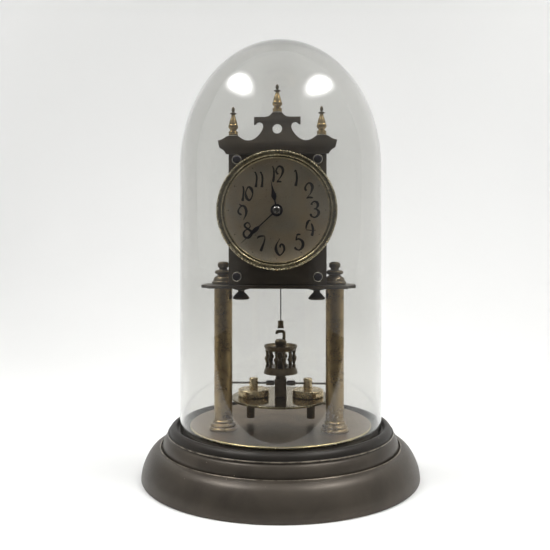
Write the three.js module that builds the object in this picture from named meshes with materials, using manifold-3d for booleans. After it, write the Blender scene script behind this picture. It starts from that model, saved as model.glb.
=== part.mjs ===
// Torsion-pendulum anniversary clock under a round-top glass dome.
// Millimetres, +Z up, the dial faces -Y. The origin is on the underside of the
// base, on the common axis of the base, the dome and the pendulum.
import * as THREE from 'three';
import { mergeVertices } from 'three/addons/utils/BufferGeometryUtils.js';
import Module from 'manifold-3d';

const wasm = await Module();
wasm.setup();

// ---------------------------------------------------------------- dimensions
const GAP = 0.3;                 // assembly gap between touching pieces

const BASE_R = 100;              // base radius at the floor
const BASE_H = 36.5;             // height of the base rim
const DISC_R = 65.7;             // brass top plate radius
const DISC_TOP = 36.8;           // its upper face
const DISC_T = 2;                // its thickness

const DOME_R = 72.8;             // glass outside radius
const DOME_T = 1.5;              // glass wall
const DOME_Z0 = 33.3;            // lower edge, standing in the groove of the base
const DOME_ZC = 222;             // where the wall ends and the oval top begins
const DOME_H = 91.8;             // height of the oval top

const PILLAR_X = 38.8;           // pillar spacing, half
const PILLAR_Y = -24;
const PILLAR_R = 6.3;
const PILLAR_TOP = 136.1;
const ROD_R = 1.6;               // bolt through each pillar

const SHELF_Z0 = 136.4;          // shelf underside
const SHELF_Z1 = 138.4;          // shelf upper face
const PLATE_Z0 = 138.7;          // movement plates, lower edge
const PLATE_Z1 = 229;            // upper edge
const PLATE_HW = 33;             // half width
const FRONT_Y0 = -40, FRONT_Y1 = -38;   // front plate faces
const BACK_Y0 = -10, BACK_Y1 = -8;      // back plate faces
const POST_X = 27.2, POST_Z0 = 144.5, POST_Z1 = 223.4, POST_R = 3;

const CZ = 189;                  // dial centre height
const BEZEL_R = 40.2;
const DIAL_R = 36.2;
const DIAL_Y = -46;              // dial face

// going train: x and z of each arbor, teeth and modules
const B = { x: 9, z: 162.5 };            // barrel
const S = { x: -8.34, z: 172.5 };        // second wheel
const T = { x: -14.51, z: 188.6 };       // third wheel
const C = { x: 0, z: CZ };               // centre
const E = { x: 0, z: 202.64 };           // escape wheel
const A = { x: 0, z: 215.2 };            // anchor
const LEAVES = 6;
const N_BARREL = 72, N_SECOND = 66, N_THIRD = 60, N_CENTRE = 60, N_ESCAPE = 24;
const dist = (p, q) => Math.hypot(p.x - q.x, p.z - q.z);
const M_BS = 2 * dist(B, S) / (N_BARREL + LEAVES);
const M_ST = 2 * dist(S, T) / (N_SECOND + LEAVES);
const M_TC = 2 * dist(T, C) / (N_THIRD + LEAVES);
const M_CE = 2 * dist(C, E) / (N_CENTRE + LEAVES);

// motion work behind the dial
const N_CANNON = 10, N_MINUTE = 30, N_MPINION = 8, N_HOUR = 32;
const MW = { x: 7.42, z: CZ - 7.42 };    // minute wheel stud
const M_CM = 2 * dist(C, MW) / (N_CANNON + N_MINUTE);
const M_MH = 2 * dist(C, MW) / (N_MPINION + N_HOUR);

const PEND_DISC_R = 36, PEND_DISC_TOP = 55.4;
const WEIGHT_X = 19.8, WEIGHT_R = 11.4;
const ROD_Z = 64.9;              // height of the regulating rod

// ---------------------------------------------------------------- materials
const mat = (color, roughness, metalness, opacity = 1) => new THREE.MeshStandardMaterial({
  color, roughness, metalness, transparent: opacity < 1, opacity });
const bronze = () => mat(0x3a322b, 0.45, 0.8);
const darkPlate = () => mat(0x38312b, 0.4, 0.75);
const brass = () => mat(0x8a7a55, 0.4, 1);
const brightBrass = () => mat(0xb89a55, 0.28, 1);
const discBrass = () => mat(0x8f7c57, 0.22, 1);
const wheelBrass = () => mat(0xa98d4e, 0.35, 1);
const steel = () => mat(0x8d8f92, 0.35, 1);
const blued = () => mat(0x1d1c22, 0.35, 0.7);
const dialMetal = () => mat(0x6f6455, 0.45, 0.8);
const glass = () => mat(0xf2f5f4, 0.03, 0, 0.25);

// ---------------------------------------------------------------- helpers
const root = new THREE.Group();

function clean(geo) {
  let g = geo.clone();
  for (const k of Object.keys(g.attributes)) if (k !== 'position') g.deleteAttribute(k);
  g = mergeVertices(g, 1e-4);
  const idx = g.index.array, p = g.attributes.position, keep = [];
  for (let i = 0; i < idx.length; i += 3) {
    const [a, b, c] = [idx[i], idx[i + 1], idx[i + 2]];
    if (a !== b && b !== c && c !== a) keep.push(a, b, c);
  }
  let vol = 0;
  const v = i => [p.getX(i), p.getY(i), p.getZ(i)];
  for (let i = 0; i < keep.length; i += 3) {
    const [a, b, c] = [v(keep[i]), v(keep[i + 1]), v(keep[i + 2])];
    vol += a[0] * (b[1] * c[2] - b[2] * c[1]) - a[1] * (b[0] * c[2] - b[2] * c[0])
      + a[2] * (b[0] * c[1] - b[1] * c[0]);
  }
  if (vol < 0) for (let i = 0; i < keep.length; i += 3) [keep[i + 1], keep[i + 2]] = [keep[i + 2], keep[i + 1]];
  g.setIndex(keep);
  return g;
}
function solid(geo) {
  const g = clean(geo);
  return new wasm.Manifold(new wasm.Mesh({ numProp: 3,
    vertProperties: new Float32Array(g.attributes.position.array),
    triVerts: new Uint32Array(g.index.array) }));
}
function fromSolid(m) {
  const s = m.getMesh();
  const g = new THREE.BufferGeometry();
  g.setAttribute('position', new THREE.BufferAttribute(new Float32Array(s.vertProperties), 3));
  g.setIndex(new THREE.BufferAttribute(new Uint32Array(s.triVerts), 1));
  return g;
}
const union = (...parts) => parts.map(p => p.isBufferGeometry ? solid(p) : p).reduce((a, b) => a.add(b));
const cut = (a, ...parts) => parts.map(p => p.isBufferGeometry ? solid(p) : p)
  .reduce((r, b) => r.subtract(b), a.isBufferGeometry ? solid(a) : a);

function add(name, shape, material) {
  const g = shape.isBufferGeometry ? clean(shape) : clean(fromSolid(shape));
  const m = new THREE.Mesh(g, material);
  m.name = name;
  root.add(m);
  return m;
}
// turned piece about the vertical; profile is [radius, z] pairs
function turnZ(profile, seg, x = 0, y = 0, phase = 0) {
  const g = new THREE.LatheGeometry(profile.map(([r, z]) => new THREE.Vector2(r, z)), seg, phase);
  g.rotateX(Math.PI / 2);
  g.translate(x, y, 0);
  return g;
}
// turned piece about an arbor along Y; profile is [radius, y] pairs
function turnY(profile, seg, x = 0, z = 0, phase = 0) {
  const g = new THREE.LatheGeometry(profile.map(([r, y]) => new THREE.Vector2(r, y)), seg, phase);
  g.translate(x, 0, z);
  return g;
}
function turnX(profile, seg, y, z, phase = 0) {
  const g = new THREE.LatheGeometry(profile.map(([r, x]) => new THREE.Vector2(r, x)), seg, phase);
  g.rotateZ(-Math.PI / 2);
  g.translate(0, y, z);
  return g;
}
const barY = (r, y0, y1, x, z, seg = 10, phase = 0) => turnY([[0, y0], [r, y0], [r, y1], [0, y1]], seg, x, z, phase);
const barZ = (r, z0, z1, x, y, seg = 10, phase = 0) => turnZ([[0, z0], [r, z0], [r, z1], [0, z1]], seg, x, y, phase);
const tubeY = (ro, ri, y0, y1, x, z, seg = 12) => turnY([[ri, y0], [ro, y0], [ro, y1], [ri, y1], [ri, y0]], seg, x, z);
const tubeZ = (ro, ri, z0, z1, x, y, seg = 12) => turnZ([[ri, z0], [ro, z0], [ro, z1], [ri, z1], [ri, z0]], seg, x, y);
function shapeOf(pts) {
  return new THREE.Shape(pts.map(([a, b]) => new THREE.Vector2(a, b)));
}
// plate cut from an outline in the X-Z plane, between two Y faces
function plateY(pts, y0, y1, holes = []) {
  const s = shapeOf(pts);
  for (const h of holes) s.holes.push(new THREE.Path(h.map(([a, b]) => new THREE.Vector2(a, b))));
  const g = new THREE.ExtrudeGeometry(s, { depth: y1 - y0, bevelEnabled: false, steps: 1 });
  g.rotateX(Math.PI / 2);
  g.translate(0, y1, 0);
  return g;
}
// plate cut from an outline in the X-Y plane, between two Z faces
function plateZ(pts, z0, z1, holes = []) {
  const s = shapeOf(pts);
  for (const h of holes) s.holes.push(new THREE.Path(h.map(([a, b]) => new THREE.Vector2(a, b))));
  const g = new THREE.ExtrudeGeometry(s, { depth: z1 - z0, bevelEnabled: false, steps: 1 });
  g.translate(0, 0, z0);
  return g;
}
function ringPts(r, x, z, seg = 12, phase = 0) {
  const out = [];
  for (let i = 0; i < seg; i++) {
    const a = phase + 2 * Math.PI * i / seg;
    out.push([x + r * Math.cos(a), z + r * Math.sin(a)]);
  }
  return out;
}
const box = (x0, x1, y0, y1, z0, z1) => {
  const g = new THREE.BoxGeometry(x1 - x0, y1 - y0, z1 - z0);
  g.translate((x0 + x1) / 2, (y0 + y1) / 2, (z0 + z1) / 2);
  return g;
};
// wheel with pointed teeth: n teeth of module m; a tooth centre points along angle ph
function wheelPts(n, m, x, z, ph, addendum = 0.85, dedendum = 1.0) {
  const rp = m * n / 2, pts = [];
  for (let i = 0; i < n; i++) {
    const a = ph + 2 * Math.PI * i / n, b = a + Math.PI / n;
    pts.push([x + (rp + addendum * m) * Math.cos(a), z + (rp + addendum * m) * Math.sin(a)]);
    pts.push([x + (rp - dedendum * m) * Math.cos(b), z + (rp - dedendum * m) * Math.sin(b)]);
  }
  return pts;
}
// pinion with slim leaves
function pinionPts(n, m, x, z, ph, add_ = 0.5, ded = 1.1, wRoot = 0.17, wTip = 0.09) {
  const rp = m * n / 2, step = 2 * Math.PI / n, pts = [];
  for (let i = 0; i < n; i++) {
    const a = ph + step * i;
    for (const [r, w] of [[rp - ded * m, -wRoot], [rp + add_ * m, -wTip], [rp + add_ * m, wTip], [rp - ded * m, wRoot]])
      pts.push([x + r * Math.cos(a + w * step), z + r * Math.sin(a + w * step)]);
  }
  return pts;
}
const dir = (p, q) => Math.atan2(q.z - p.z, q.x - p.x);
// phase of a follower gear at Q that puts a gap (or leaf) opposite a tooth of the gear at P
const meshPhase = (nQ, P, Q) => dir(Q, P) + Math.PI / nQ;

// ---------------------------------------------------------------- base
// hollow spun base: outer steps, rim, groove for the dome, open underneath,
// with a foot flange turned inwards
add('base_shell', turnZ([
  [94, 0], [100, 0], [99.5, 4], [97.3, 11.5], [94.2, 18.2], [90.6, 21.8], [86.2, 22],
  [85, 21], [83.8, 26], [81.4, 29.6], [80.9, 32.6], [77.6, 36.5],
  [75, 36.5], [74.2, 33], [70, 33], [69.4, 34.4], [62, 34.4], [62, 32.2], [68, 30.6],
  [76.4, 30.6], [82.2, 19.4], [88.6, 19], [94.6, 11], [97.2, 2], [94, 2], [94, 0],
], 28), bronze());

add('base_plate', cut(
  turnZ([[0, DISC_TOP - DISC_T], [DISC_R - 0.6, DISC_TOP - DISC_T], [DISC_R, DISC_TOP - 1.2], [DISC_R, DISC_TOP - 0.5],
    [DISC_R - 0.7, DISC_TOP], [0, DISC_TOP]], 28),
  barZ(ROD_R + 0.25, 30, 40, -PILLAR_X, PILLAR_Y, 10),
  barZ(ROD_R + 0.25, 30, 40, PILLAR_X, PILLAR_Y, 10),
), discBrass());

// ---------------------------------------------------------------- dome
{
  const ro = DOME_R, ri = DOME_R - DOME_T, prof = [];
  const n = 6;
  prof.push([ri, DOME_Z0], [ro, DOME_Z0]);
  for (let i = 0; i <= n; i++) {
    const a = (Math.PI / 2) * i / n;
    prof.push([i === n ? 0 : ro * Math.cos(a), DOME_ZC + DOME_H * Math.sin(a)]);
  }
  for (let i = n; i >= 0; i--) {
    const a = (Math.PI / 2) * i / n;
    prof.push([i === n ? 0 : ri * Math.cos(a), DOME_ZC + (DOME_H - DOME_T) * Math.sin(a)]);
  }
  prof.push([ri, DOME_Z0]);
  add('glass_dome', turnZ(prof, 28), glass());
}

// ---------------------------------------------------------------- pillars
for (const [side, s] of [['left', -1], ['right', 1]]) {
  const x = s * PILLAR_X;
  const z0 = DISC_TOP + GAP;
  add(`pillar_${side}`, turnZ([
    [ROD_R + 0.25, z0], [9.7, z0], [9.7, z0 + 1.7], [8.6, z0 + 2.5], [9, z0 + 3.8], [7.4, z0 + 5], [7.1, z0 + 6.2],
    [PILLAR_R, z0 + 7], [PILLAR_R, PILLAR_TOP], [ROD_R + 0.25, PILLAR_TOP], [ROD_R + 0.25, z0],
  ], 12, x, PILLAR_Y), brass());
  // long bolt, its washer head under the top plate, its thread in the cap nut
  add(`pillar_bolt_${side}`, turnZ([[0, 29.6], [4, 29.6], [4, 32.6], [6, 32.9], [6, 34.5], [ROD_R, 34.5], [ROD_R, 143.2], [0, 143.2]], 8, x, PILLAR_Y), steel());
  // stepped turned cap nut, blind
  add(`pillar_cap_${side}`, turnZ([
    [ROD_R + GAP, SHELF_Z1 + GAP], [7.9, SHELF_Z1 + GAP], [7.9, 140.6], [6.6, 142.8], [4.1, 144.4], [4.1, 145.3], [5.9, 146],
    [5.7, 147.6], [2.7, 148.8], [3.9, 151], [3.9, 152.4], [3.1, 154], [0, 154.2], [0, 143.6], [ROD_R + GAP, 143.6], [ROD_R + GAP, SHELF_Z1 + GAP],
  ], 10, x, PILLAR_Y), brass());
}

// shelf with narrowed ends
{
  const out = [[-47, -43], [47, -43], [48.2, -36], [52.9, -33], [52.9, -15], [48.2, -12], [47, -5], [-47, -5], [-48.2, -12], [-52.9, -15], [-52.9, -33], [-48.2, -36]];
  const holes = [ringPts(ROD_R + 0.25, -PILLAR_X, PILLAR_Y, 8), ringPts(ROD_R + 0.25, PILLAR_X, PILLAR_Y, 8),
    ringPts(1.75, -26.3, PILLAR_Y, 8), ringPts(1.75, 26.3, PILLAR_Y, 8)];
  add('shelf', plateZ(out, SHELF_Z0, SHELF_Z1, holes), darkPlate());
}
// thumb screws, up through the shelf into the lower plate posts
for (const [side, s] of [['left', -1], ['right', 1]]) {
  add(`thumb_screw_${side}`, turnZ([
    [0, 127.8], [5.3, 127.8], [5.8, 128.4], [5.8, 129.3], [3.6, 132.2], [2.2, 133.2], [2.4, 134.2], [6, 135.2], [6, 136.1],
    [1.5, 136.1], [1.5, 141], [0, 141],
  ], 10, s * 26.3, PILLAR_Y), darkPlate());
}

// ---------------------------------------------------------------- movement frame
const PIVOT = 0.6, PH = PIVOT + 0.15;      // arbor pivot radius, pivot hole radius
const rect = [[-PLATE_HW, PLATE_Z0], [PLATE_HW, PLATE_Z0], [PLATE_HW, PLATE_Z1], [-PLATE_HW, PLATE_Z1]];
const postHoles = [];
for (const x of [-POST_X, POST_X]) for (const z of [POST_Z0, POST_Z1]) postHoles.push([x, z]);
const WIND_R = 2.2;
add('front_plate', plateY(rect, FRONT_Y0, FRONT_Y1, [
  ...postHoles.map(([x, z]) => ringPts(1.5 + 0.25, x, z, 8)),
  ringPts(WIND_R + 0.2, B.x, B.z, 10), ringPts(PH, S.x, S.z, 8), ringPts(PH, T.x, T.z, 8),
  ringPts(1.7, C.x, C.z, 10), ringPts(PH, E.x, E.z, 8), ringPts(PH, A.x, A.z, 8),
]), darkPlate());
add('back_plate', plateY(rect, BACK_Y0, BACK_Y1, [
  ...postHoles.map(([x, z]) => ringPts(1.5 + 0.25, x, z, 8)),
  ringPts(WIND_R + 0.2, B.x, B.z, 10), ringPts(PH, S.x, S.z, 8), ringPts(PH, T.x, T.z, 8),
  ringPts(PH, C.x, C.z, 8), ringPts(PH, E.x, E.z, 8), ringPts(PH + 0.4, A.x, A.z, 8),
]), darkPlate());
const postNames = { '-1,0': 'plate_post_lower_left', '1,0': 'plate_post_lower_right', '-1,1': 'plate_post_upper_left', '1,1': 'plate_post_upper_right' };
for (const s of [-1, 1]) for (const k of [0, 1]) {
  const x = s * POST_X, z = k ? POST_Z1 : POST_Z0;
  // shouldered post: the ends pass through the plates, riveted behind
  let post = turnY([[0, -43.2], [1.5, -43.2], [1.5, FRONT_Y1 + 0.3], [POST_R, FRONT_Y1 + 0.3], [POST_R, BACK_Y0 - 0.3],
    [1.5, BACK_Y0 - 0.3], [1.5, BACK_Y1 + 0.8], [0, BACK_Y1 + 0.8]], 10, x, z);
  if (!k) post = cut(post, barZ(1.7, 138, 141.3 + 0.9, s * 26.3, PILLAR_Y, 8));
  add(postNames[`${s},${k}`], post, brass());
  add(postNames[`${s},${k}`].replace('plate_post', 'post_nut'), turnY([
    [1.5 + GAP, FRONT_Y0 - GAP], [3.3, FRONT_Y0 - GAP], [3.3, -42.2], [2.7, -43.4], [0, -43.9], [0, -43.5], [1.5 + GAP, -43.5], [1.5 + GAP, FRONT_Y0 - GAP],
  ], 10, x, z), darkPlate());
}
// swan-neck pediment screwed to the top of the front plate
{
  const half = [
    [34.5, 227.1], [36.6, 229.7], [38.6, 231.4], [40, 236.5], [36.6, 237.6], [32.8, 239.5], [26.4, 239.5], [23, 237.3], [19.8, 236.2], [15.3, 237.4],
    [11.4, 241], [9.4, 245.2], [10.1, 247.5], [12.4, 248.3], [14, 247.8], [14.6, 246.7], [15.6, 246.7], [15.6, 251.9], [7.6, 251.9], [4.9, 253.2], [3.3, 254.9],
  ];
  const pts = [...half, ...half.slice().reverse().map(([x, z]) => [-x, z])];
  // lower edge clears the post nuts and the bezel
  const low = [[-34.5, 227.1], [34.5, 227.1]];
  add('pediment', plateY(pts, FRONT_Y0 - GAP - 2, FRONT_Y0 - GAP, [ringPts(3.2, 0, 243.9, 14)]), darkPlate());
}
// urn finials
function finial(name, x, z0, h) {
  const k = h / 19;
  add(name, turnZ([
    [0, z0], [3.2, z0], [3.1, z0 + 1.2 * k], [3.3, z0 + 2 * k], [2.2, z0 + 3.3 * k], [3.3, z0 + 5.2 * k], [3.3, z0 + 6.6 * k],
    [1.1, z0 + 13.6 * k], [2.3, z0 + 14.5 * k], [0.8, z0 + 15.3 * k], [1.1, z0 + 16.8 * k], [0, z0 + 19 * k],
  ], 8, x, FRONT_Y0 - GAP - 1), brightBrass());
}
finial('finial_centre', 0, 254.9 + GAP, 18.6);
finial('finial_left', -29.6, 239.5 + GAP, 19.1);
finial('finial_right', 29.6, 239.5 + GAP, 19.1);

// ---------------------------------------------------------------- dial, bezel, hands
add('dial', turnY([[3.4, DIAL_Y], [DIAL_R, DIAL_Y], [DIAL_R, DIAL_Y + 0.8], [3.4, DIAL_Y + 0.8], [3.4, DIAL_Y]], 32, 0, CZ), dialMetal());
// bezel: rope edge, hollow cove and inner lip, with a tube back to the front plate
add('bezel', turnY([
  [34.6, -46.4], [35.4, -48.1], [38.2, -48.9], [39.4, -49.3], [40.2, -48.2], [40.2, -46.6],
  [38.2, -45.5], [38.2, FRONT_Y0 - GAP - 2 - GAP], [36.7, FRONT_Y0 - GAP - 2 - GAP], [36.7, -46.4], [34.6, -46.4],
], 32, 0, CZ), brass());

const minuteAngle = THREE.MathUtils.degToRad(227), hourAngle = THREE.MathUtils.degToRad(349);
function handPts(profile, angle) {      // profile: [distance, half width]; clockwise angle from twelve
  const out = [];
  const put = (d, w) => out.push([d * Math.sin(angle) + w * Math.cos(angle), CZ + d * Math.cos(angle) - w * Math.sin(angle)]);
  profile.forEach(([d, w]) => put(d, w));
  profile.slice().reverse().forEach(([d, w]) => { if (w > 0) put(d, -w); });
  return out;
}
add('hour_hand', cut(union(
  plateY(handPts([[0, 0.6], [6.5, 0.5], [9.2, 1.7], [11.4, 1.25], [19.8, 0.12]], hourAngle), -47.9, -47.3),
  barY(4.1, -47.9, -47.3, 0, CZ, 16)),
  barY(2.55, -50, -46, 0, CZ, 14)), blued());
add('minute_hand', cut(union(
  plateY(handPts([[0, 0.55], [14.5, 0.42], [18.2, 1.3], [21.5, 1.05], [26.3, 0.38], [32.3, 0.12]], minuteAngle), -49.2, -48.6),
  barY(2.9, -49.2, -48.6, 0, CZ, 14)),
  barY(1.05, -50, -46, 0, CZ, 10)), blued());
add('hand_nut', turnY([[1.05, -49.5], [2.5, -49.5], [2.5, -50.3], [1.8, -50.9], [1.05, -50.9], [1.05, -49.5]], 12, 0, CZ), brightBrass());

// phases: each pair is in mesh at rest
const phB = dir(B, S);
const phCentreWheel = dir(C, E);
const phThird = dir(T, C);
const phSecond = dir(S, T);
// centre arbor with its pinion and wheel, carried forward to the hands
const rotorC = union(
  turnY([[0, -51.1], [0.8, -51.1], [0.8, -10.3], [PIVOT, -10.3], [PIVOT, -7.7], [0, -7.7]], 10, C.x, C.z),
  plateY(pinionPts(LEAVES, M_TC, C.x, C.z, meshPhase(LEAVES, T, C)), -14.05, -11.4),
  plateY(wheelPts(N_CENTRE, M_CE, C.x, C.z, phCentreWheel), -15.2, -14.3));
add('centre_wheel', rotorC, wheelBrass());
// cannon pinion sleeve on the centre arbor
const phCannon = dir(C, MW);
add('cannon_pinion', cut(union(
  turnY([[0, -48.3], [1.55, -48.3], [1.55, -40.6], [0, -40.6]], 10, C.x, C.z),
  plateY(pinionPts(N_CANNON, M_CM, C.x, C.z, phCannon + Math.PI / N_CANNON), -42.2, -40.6)),
  barY(1.1, -55, -35, C.x, C.z, 10)), steel());
// minute wheel with pinion on its stud
const phMinute = dir(MW, C);
add('minute_wheel', cut(union(
  plateY(wheelPts(N_MINUTE, M_CM, MW.x, MW.z, phMinute), -41.7, -40.9),
  plateY(pinionPts(N_MPINION, M_MH, MW.x, MW.z, dir(MW, C) + Math.PI / N_MPINION), -43.7, -41.7),
  ), barY(0.95, -50, -35, MW.x, MW.z, 8)), wheelBrass());
add('minute_stud', turnY([[0, -44.6], [1.5, -44.6], [1.5, -44], [0.75, -44], [0.75, FRONT_Y0 - GAP], [0, FRONT_Y0 - GAP]], 8, MW.x, MW.z), steel());
// hour wheel on the cannon
add('hour_wheel', cut(union(
  plateY(wheelPts(N_HOUR, M_MH, C.x, C.z, dir(C, MW)), -43.4, -42.6),
  turnY([[0, -48.1], [2.45, -48.1], [2.45, -42.6], [0, -42.6]], 14, C.x, C.z)),
  barY(1.85, -55, -35, C.x, C.z, 12)), wheelBrass());

// ---------------------------------------------------------------- barrel and winding
// drum with toothed flange, closed by a snapped-in cover at the front
add('barrel', cut(union(
  barY(16.4, -34.4, -17.2, B.x, B.z, 18),
  plateY(wheelPts(N_BARREL, M_BS, B.x, B.z, phB), -17.2, -15.9),
  barY(4, -15.9, -14.6, B.x, B.z, 12)),
  barY(15.3, -36, -18.4, B.x, B.z, 18),
  barY(WIND_R + 0.2, -40, -10, B.x, B.z, 10)), wheelBrass());
add('barrel_cover', tubeY(14.7, WIND_R + 0.2, -34.4, -33.2, B.x, B.z, 18), wheelBrass());
{
  // wound mainspring strip, from the arbor hub outwards to the drum wall
  const turns = 4, per = 10, t = 0.35, inner = [], outer = [];
  for (let i = 0; i <= turns * per; i++) {
    const a = 2 * Math.PI * i / per, r = 4.6 + (14.4 - 4.6) * i / (turns * per);
    inner.push([B.x + (r - t) * Math.cos(a), B.z + (r - t) * Math.sin(a)]);
    outer.push([B.x + (r + t) * Math.cos(a), B.z + (r + t) * Math.sin(a)]);
  }
  add('mainspring', plateY([...outer, ...inner.reverse()], -32.6, -19), steel());
}
add('winding_arbor', union(
  turnY([[0, -39.6], [WIND_R, -39.6], [WIND_R, -32.9], [3.6, -32.9], [3.6, -18.7], [WIND_R, -18.7], [WIND_R, -6.3], [0, -6.3]], 10, B.x, B.z),
  box(B.x - 1.5, B.x + 1.5, -6.5, 3.2, B.z - 1.5, B.z + 1.5)), steel());
const RATCH_R = 8, RATCH_N = 20;
{
  const pts = [];
  for (let i = 0; i < RATCH_N; i++) {
    const a = 2 * Math.PI * i / RATCH_N;
    pts.push([B.x + RATCH_R * Math.cos(a), B.z + RATCH_R * Math.sin(a)]);
    pts.push([B.x + (RATCH_R - 1.3) * Math.cos(a + 0.03), B.z + (RATCH_R - 1.3) * Math.sin(a + 0.03)]);
  }
  const hole = [[B.x - 1.8, B.z - 1.8], [B.x + 1.8, B.z - 1.8], [B.x + 1.8, B.z + 1.8], [B.x - 1.8, B.z + 1.8]];
  add('ratchet_wheel', plateY(pts, -5.8, -4.4, [hole]), steel());
}
// click on its screw, with a light leaf spring; the nose stands just clear of the teeth
const K = { x: B.x + 10.6, z: B.z + 7.2 };
add('click', plateY([[K.x - 2.2, K.z - 1.6], [K.x + 1.6, K.z - 1.9], [K.x + 2.2, K.z + 0.6], [K.x + 0.8, K.z + 2.2], [K.x - 1.4, K.z + 2.2],
  [K.x - 5.4, K.z + 1.3], [K.x - 6.05, K.z - 0.15], [K.x - 4.6, K.z - 0.6]], -5.8, -4.4, [ringPts(1.15, K.x, K.z, 8)]), steel());
add('click_screw', turnY([[0, BACK_Y1 + GAP], [1, BACK_Y1 + GAP], [1, -4.1], [1.9, -4.1], [1.9, -3.1], [0, -3.1]], 8, K.x, K.z), steel());
add('click_spring', union(plateY([[K.x + 4.4, K.z + 10.5], [K.x + 6.6, K.z + 10.5], [K.x + 6.6, K.z + 13.2], [K.x + 4.0, K.z + 13.2], [K.x - 4.6, K.z + 3.1], [K.x - 4.0, K.z + 2.7]], -5.5, -4.7),
  turnY([[0, BACK_Y1 + GAP], [1.8, BACK_Y1 + GAP], [1.8, -3.9], [0, -3.9]], 8, K.x + 5.3, K.z + 11.9)), steel());

// ---------------------------------------------------------------- train
function arbor(x, z, r = 0.8, y0 = FRONT_Y0 + 0.2, y1 = BACK_Y1 - 0.2) {
  return turnY([[0, y0], [PIVOT, y0], [PIVOT, FRONT_Y1 + 0.3], [r, FRONT_Y1 + 0.3], [r, BACK_Y0 - 0.3], [PIVOT, BACK_Y0 - 0.3], [PIVOT, y1], [0, y1]], 8, x, z);
}
add('second_wheel', union(arbor(S.x, S.z),
  plateY(pinionPts(LEAVES, M_BS, S.x, S.z, meshPhase(LEAVES, B, S)), -18.2, -14.9),
  plateY(wheelPts(N_SECOND, M_ST, S.x, S.z, phSecond), -36.6, -35.6)), wheelBrass());
add('third_wheel', union(arbor(T.x, T.z),
  plateY(pinionPts(LEAVES, M_ST, T.x, T.z, meshPhase(LEAVES, S, T)), -37.2, -34.8),
  plateY(wheelPts(N_THIRD, M_TC, T.x, T.z, phThird), -13.3, -12.4)), wheelBrass());
{
  const pts = [], R = 9;
  for (let i = 0; i < N_ESCAPE; i++) {
    const a = Math.PI / 2 + 2 * Math.PI * (i + 0.5) / N_ESCAPE;
    pts.push([E.x + R * Math.cos(a), E.z + R * Math.sin(a)]);
    pts.push([E.x + (R - 1.9) * Math.cos(a + 0.05), E.z + (R - 1.9) * Math.sin(a + 0.05)]);
    pts.push([E.x + (R - 1.9) * Math.cos(a + 0.2), E.z + (R - 1.9) * Math.sin(a + 0.2)]);
  }
  add('escape_wheel', union(arbor(E.x, E.z),
    plateY(pinionPts(LEAVES, M_CE, E.x, E.z, meshPhase(LEAVES, C, E)), -15.9, -13.7),
    plateY(pts, -22.2, -21.4)), wheelBrass());
}
// anchor with two pallets straddling six teeth, and the pin that reaches up into the fork
{
  const R = 9.7;   // pallet tips lie on this circle about the escape arbor, clear of the wheel
  const ang = THREE.MathUtils.degToRad(46);
  const px = R * Math.sin(ang), pz = E.z + R * Math.cos(ang);
  const arm = s => plateY(s > 0
    ? [[0, A.z - 1.4], [px * 0.6, A.z - 2.2], [px - 0.1, pz + 0.1], [px + 1.2, pz - 0.9], [px + 1.5, pz + 1.4], [px * 0.7, A.z + 0.4], [0, A.z + 1.4]]
    : [[0, A.z + 1.4], [-px * 0.7, A.z + 0.4], [-px - 1.5, pz + 1.4], [-px - 1.2, pz - 0.9], [-px + 0.1, pz + 0.1], [-px * 0.6, A.z - 2.2], [0, A.z - 1.4]],
    -22.4, -21.2);
  add('anchor', union(
    turnY([[0, FRONT_Y0 + 0.2], [PIVOT, FRONT_Y0 + 0.2], [PIVOT, FRONT_Y1 + 0.3], [1.3, FRONT_Y1 + 0.3], [1.3, BACK_Y0 - 0.3], [PIVOT, BACK_Y0 - 0.3], [PIVOT, -6.9], [1.8, -6.9], [1.8, -3.4], [0, -3.4]], 8, A.x, A.z),
    arm(1), arm(-1),
    barZ(0.45, A.z, 225.2, 0, -4.6, 8)), steel());
}

// ---------------------------------------------------------------- suspension
const FORK_Z = 223.4;
add('suspension_bracket', union(
  box(-7, 7, BACK_Y1 + GAP, BACK_Y1 + GAP + 1.6, 217.6, 233.6),
  box(-7, -4.6, BACK_Y1 + GAP, 3.4, 229.6, 233.6),
  box(4.6, 7, BACK_Y1 + GAP, 3.4, 229.6, 233.6),
  barY(1.5, -6.3, -5.2, -4.6, 224, 8), barY(1.5, -6.3, -5.2, 4.6, 224, 8)).subtract(solid(barY(2.6, -9, -4, A.x, A.z, 12))), brass());
add('top_block', union(box(-4.3, 4.3, -1.6, -0.35, 227, 233.4), box(-4.3, 4.3, 0.35, 1.6, 227, 233.4), box(-4.3, -1.6, -0.5, 0.5, 227, 233.4), box(1.6, 4.3, -0.5, 0.5, 227, 233.4)), brass());
add('suspension_spring', box(-0.6, 0.6, -0.05, 0.05, 106.9, 233), steel());
// fork clamped to the strip, tines either side of the anchor pin
add('fork', cut(union(
  box(-2.4, 2.4, -1.5, 1.5, FORK_Z - 1.1, FORK_Z + 1.1),
  box(-1.7, -0.75, -5.7, -1.2, FORK_Z - 0.5, FORK_Z + 0.5),
  box(0.75, 1.7, -5.7, -1.2, FORK_Z - 0.5, FORK_Z + 0.5)),
  box(-1.15, 1.15, -0.4, 0.4, FORK_Z - 3, FORK_Z + 3)), brass());
// lower block, bored round so that it turns clear of the strip's end; the hook catches below it
add('bottom_block', cut(union(box(-2.2, 2.2, -1.7, 1.7, 104.9, 110.4)), barZ(1.15, 106.5, 112, 0, 0, 12)), brass());

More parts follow.
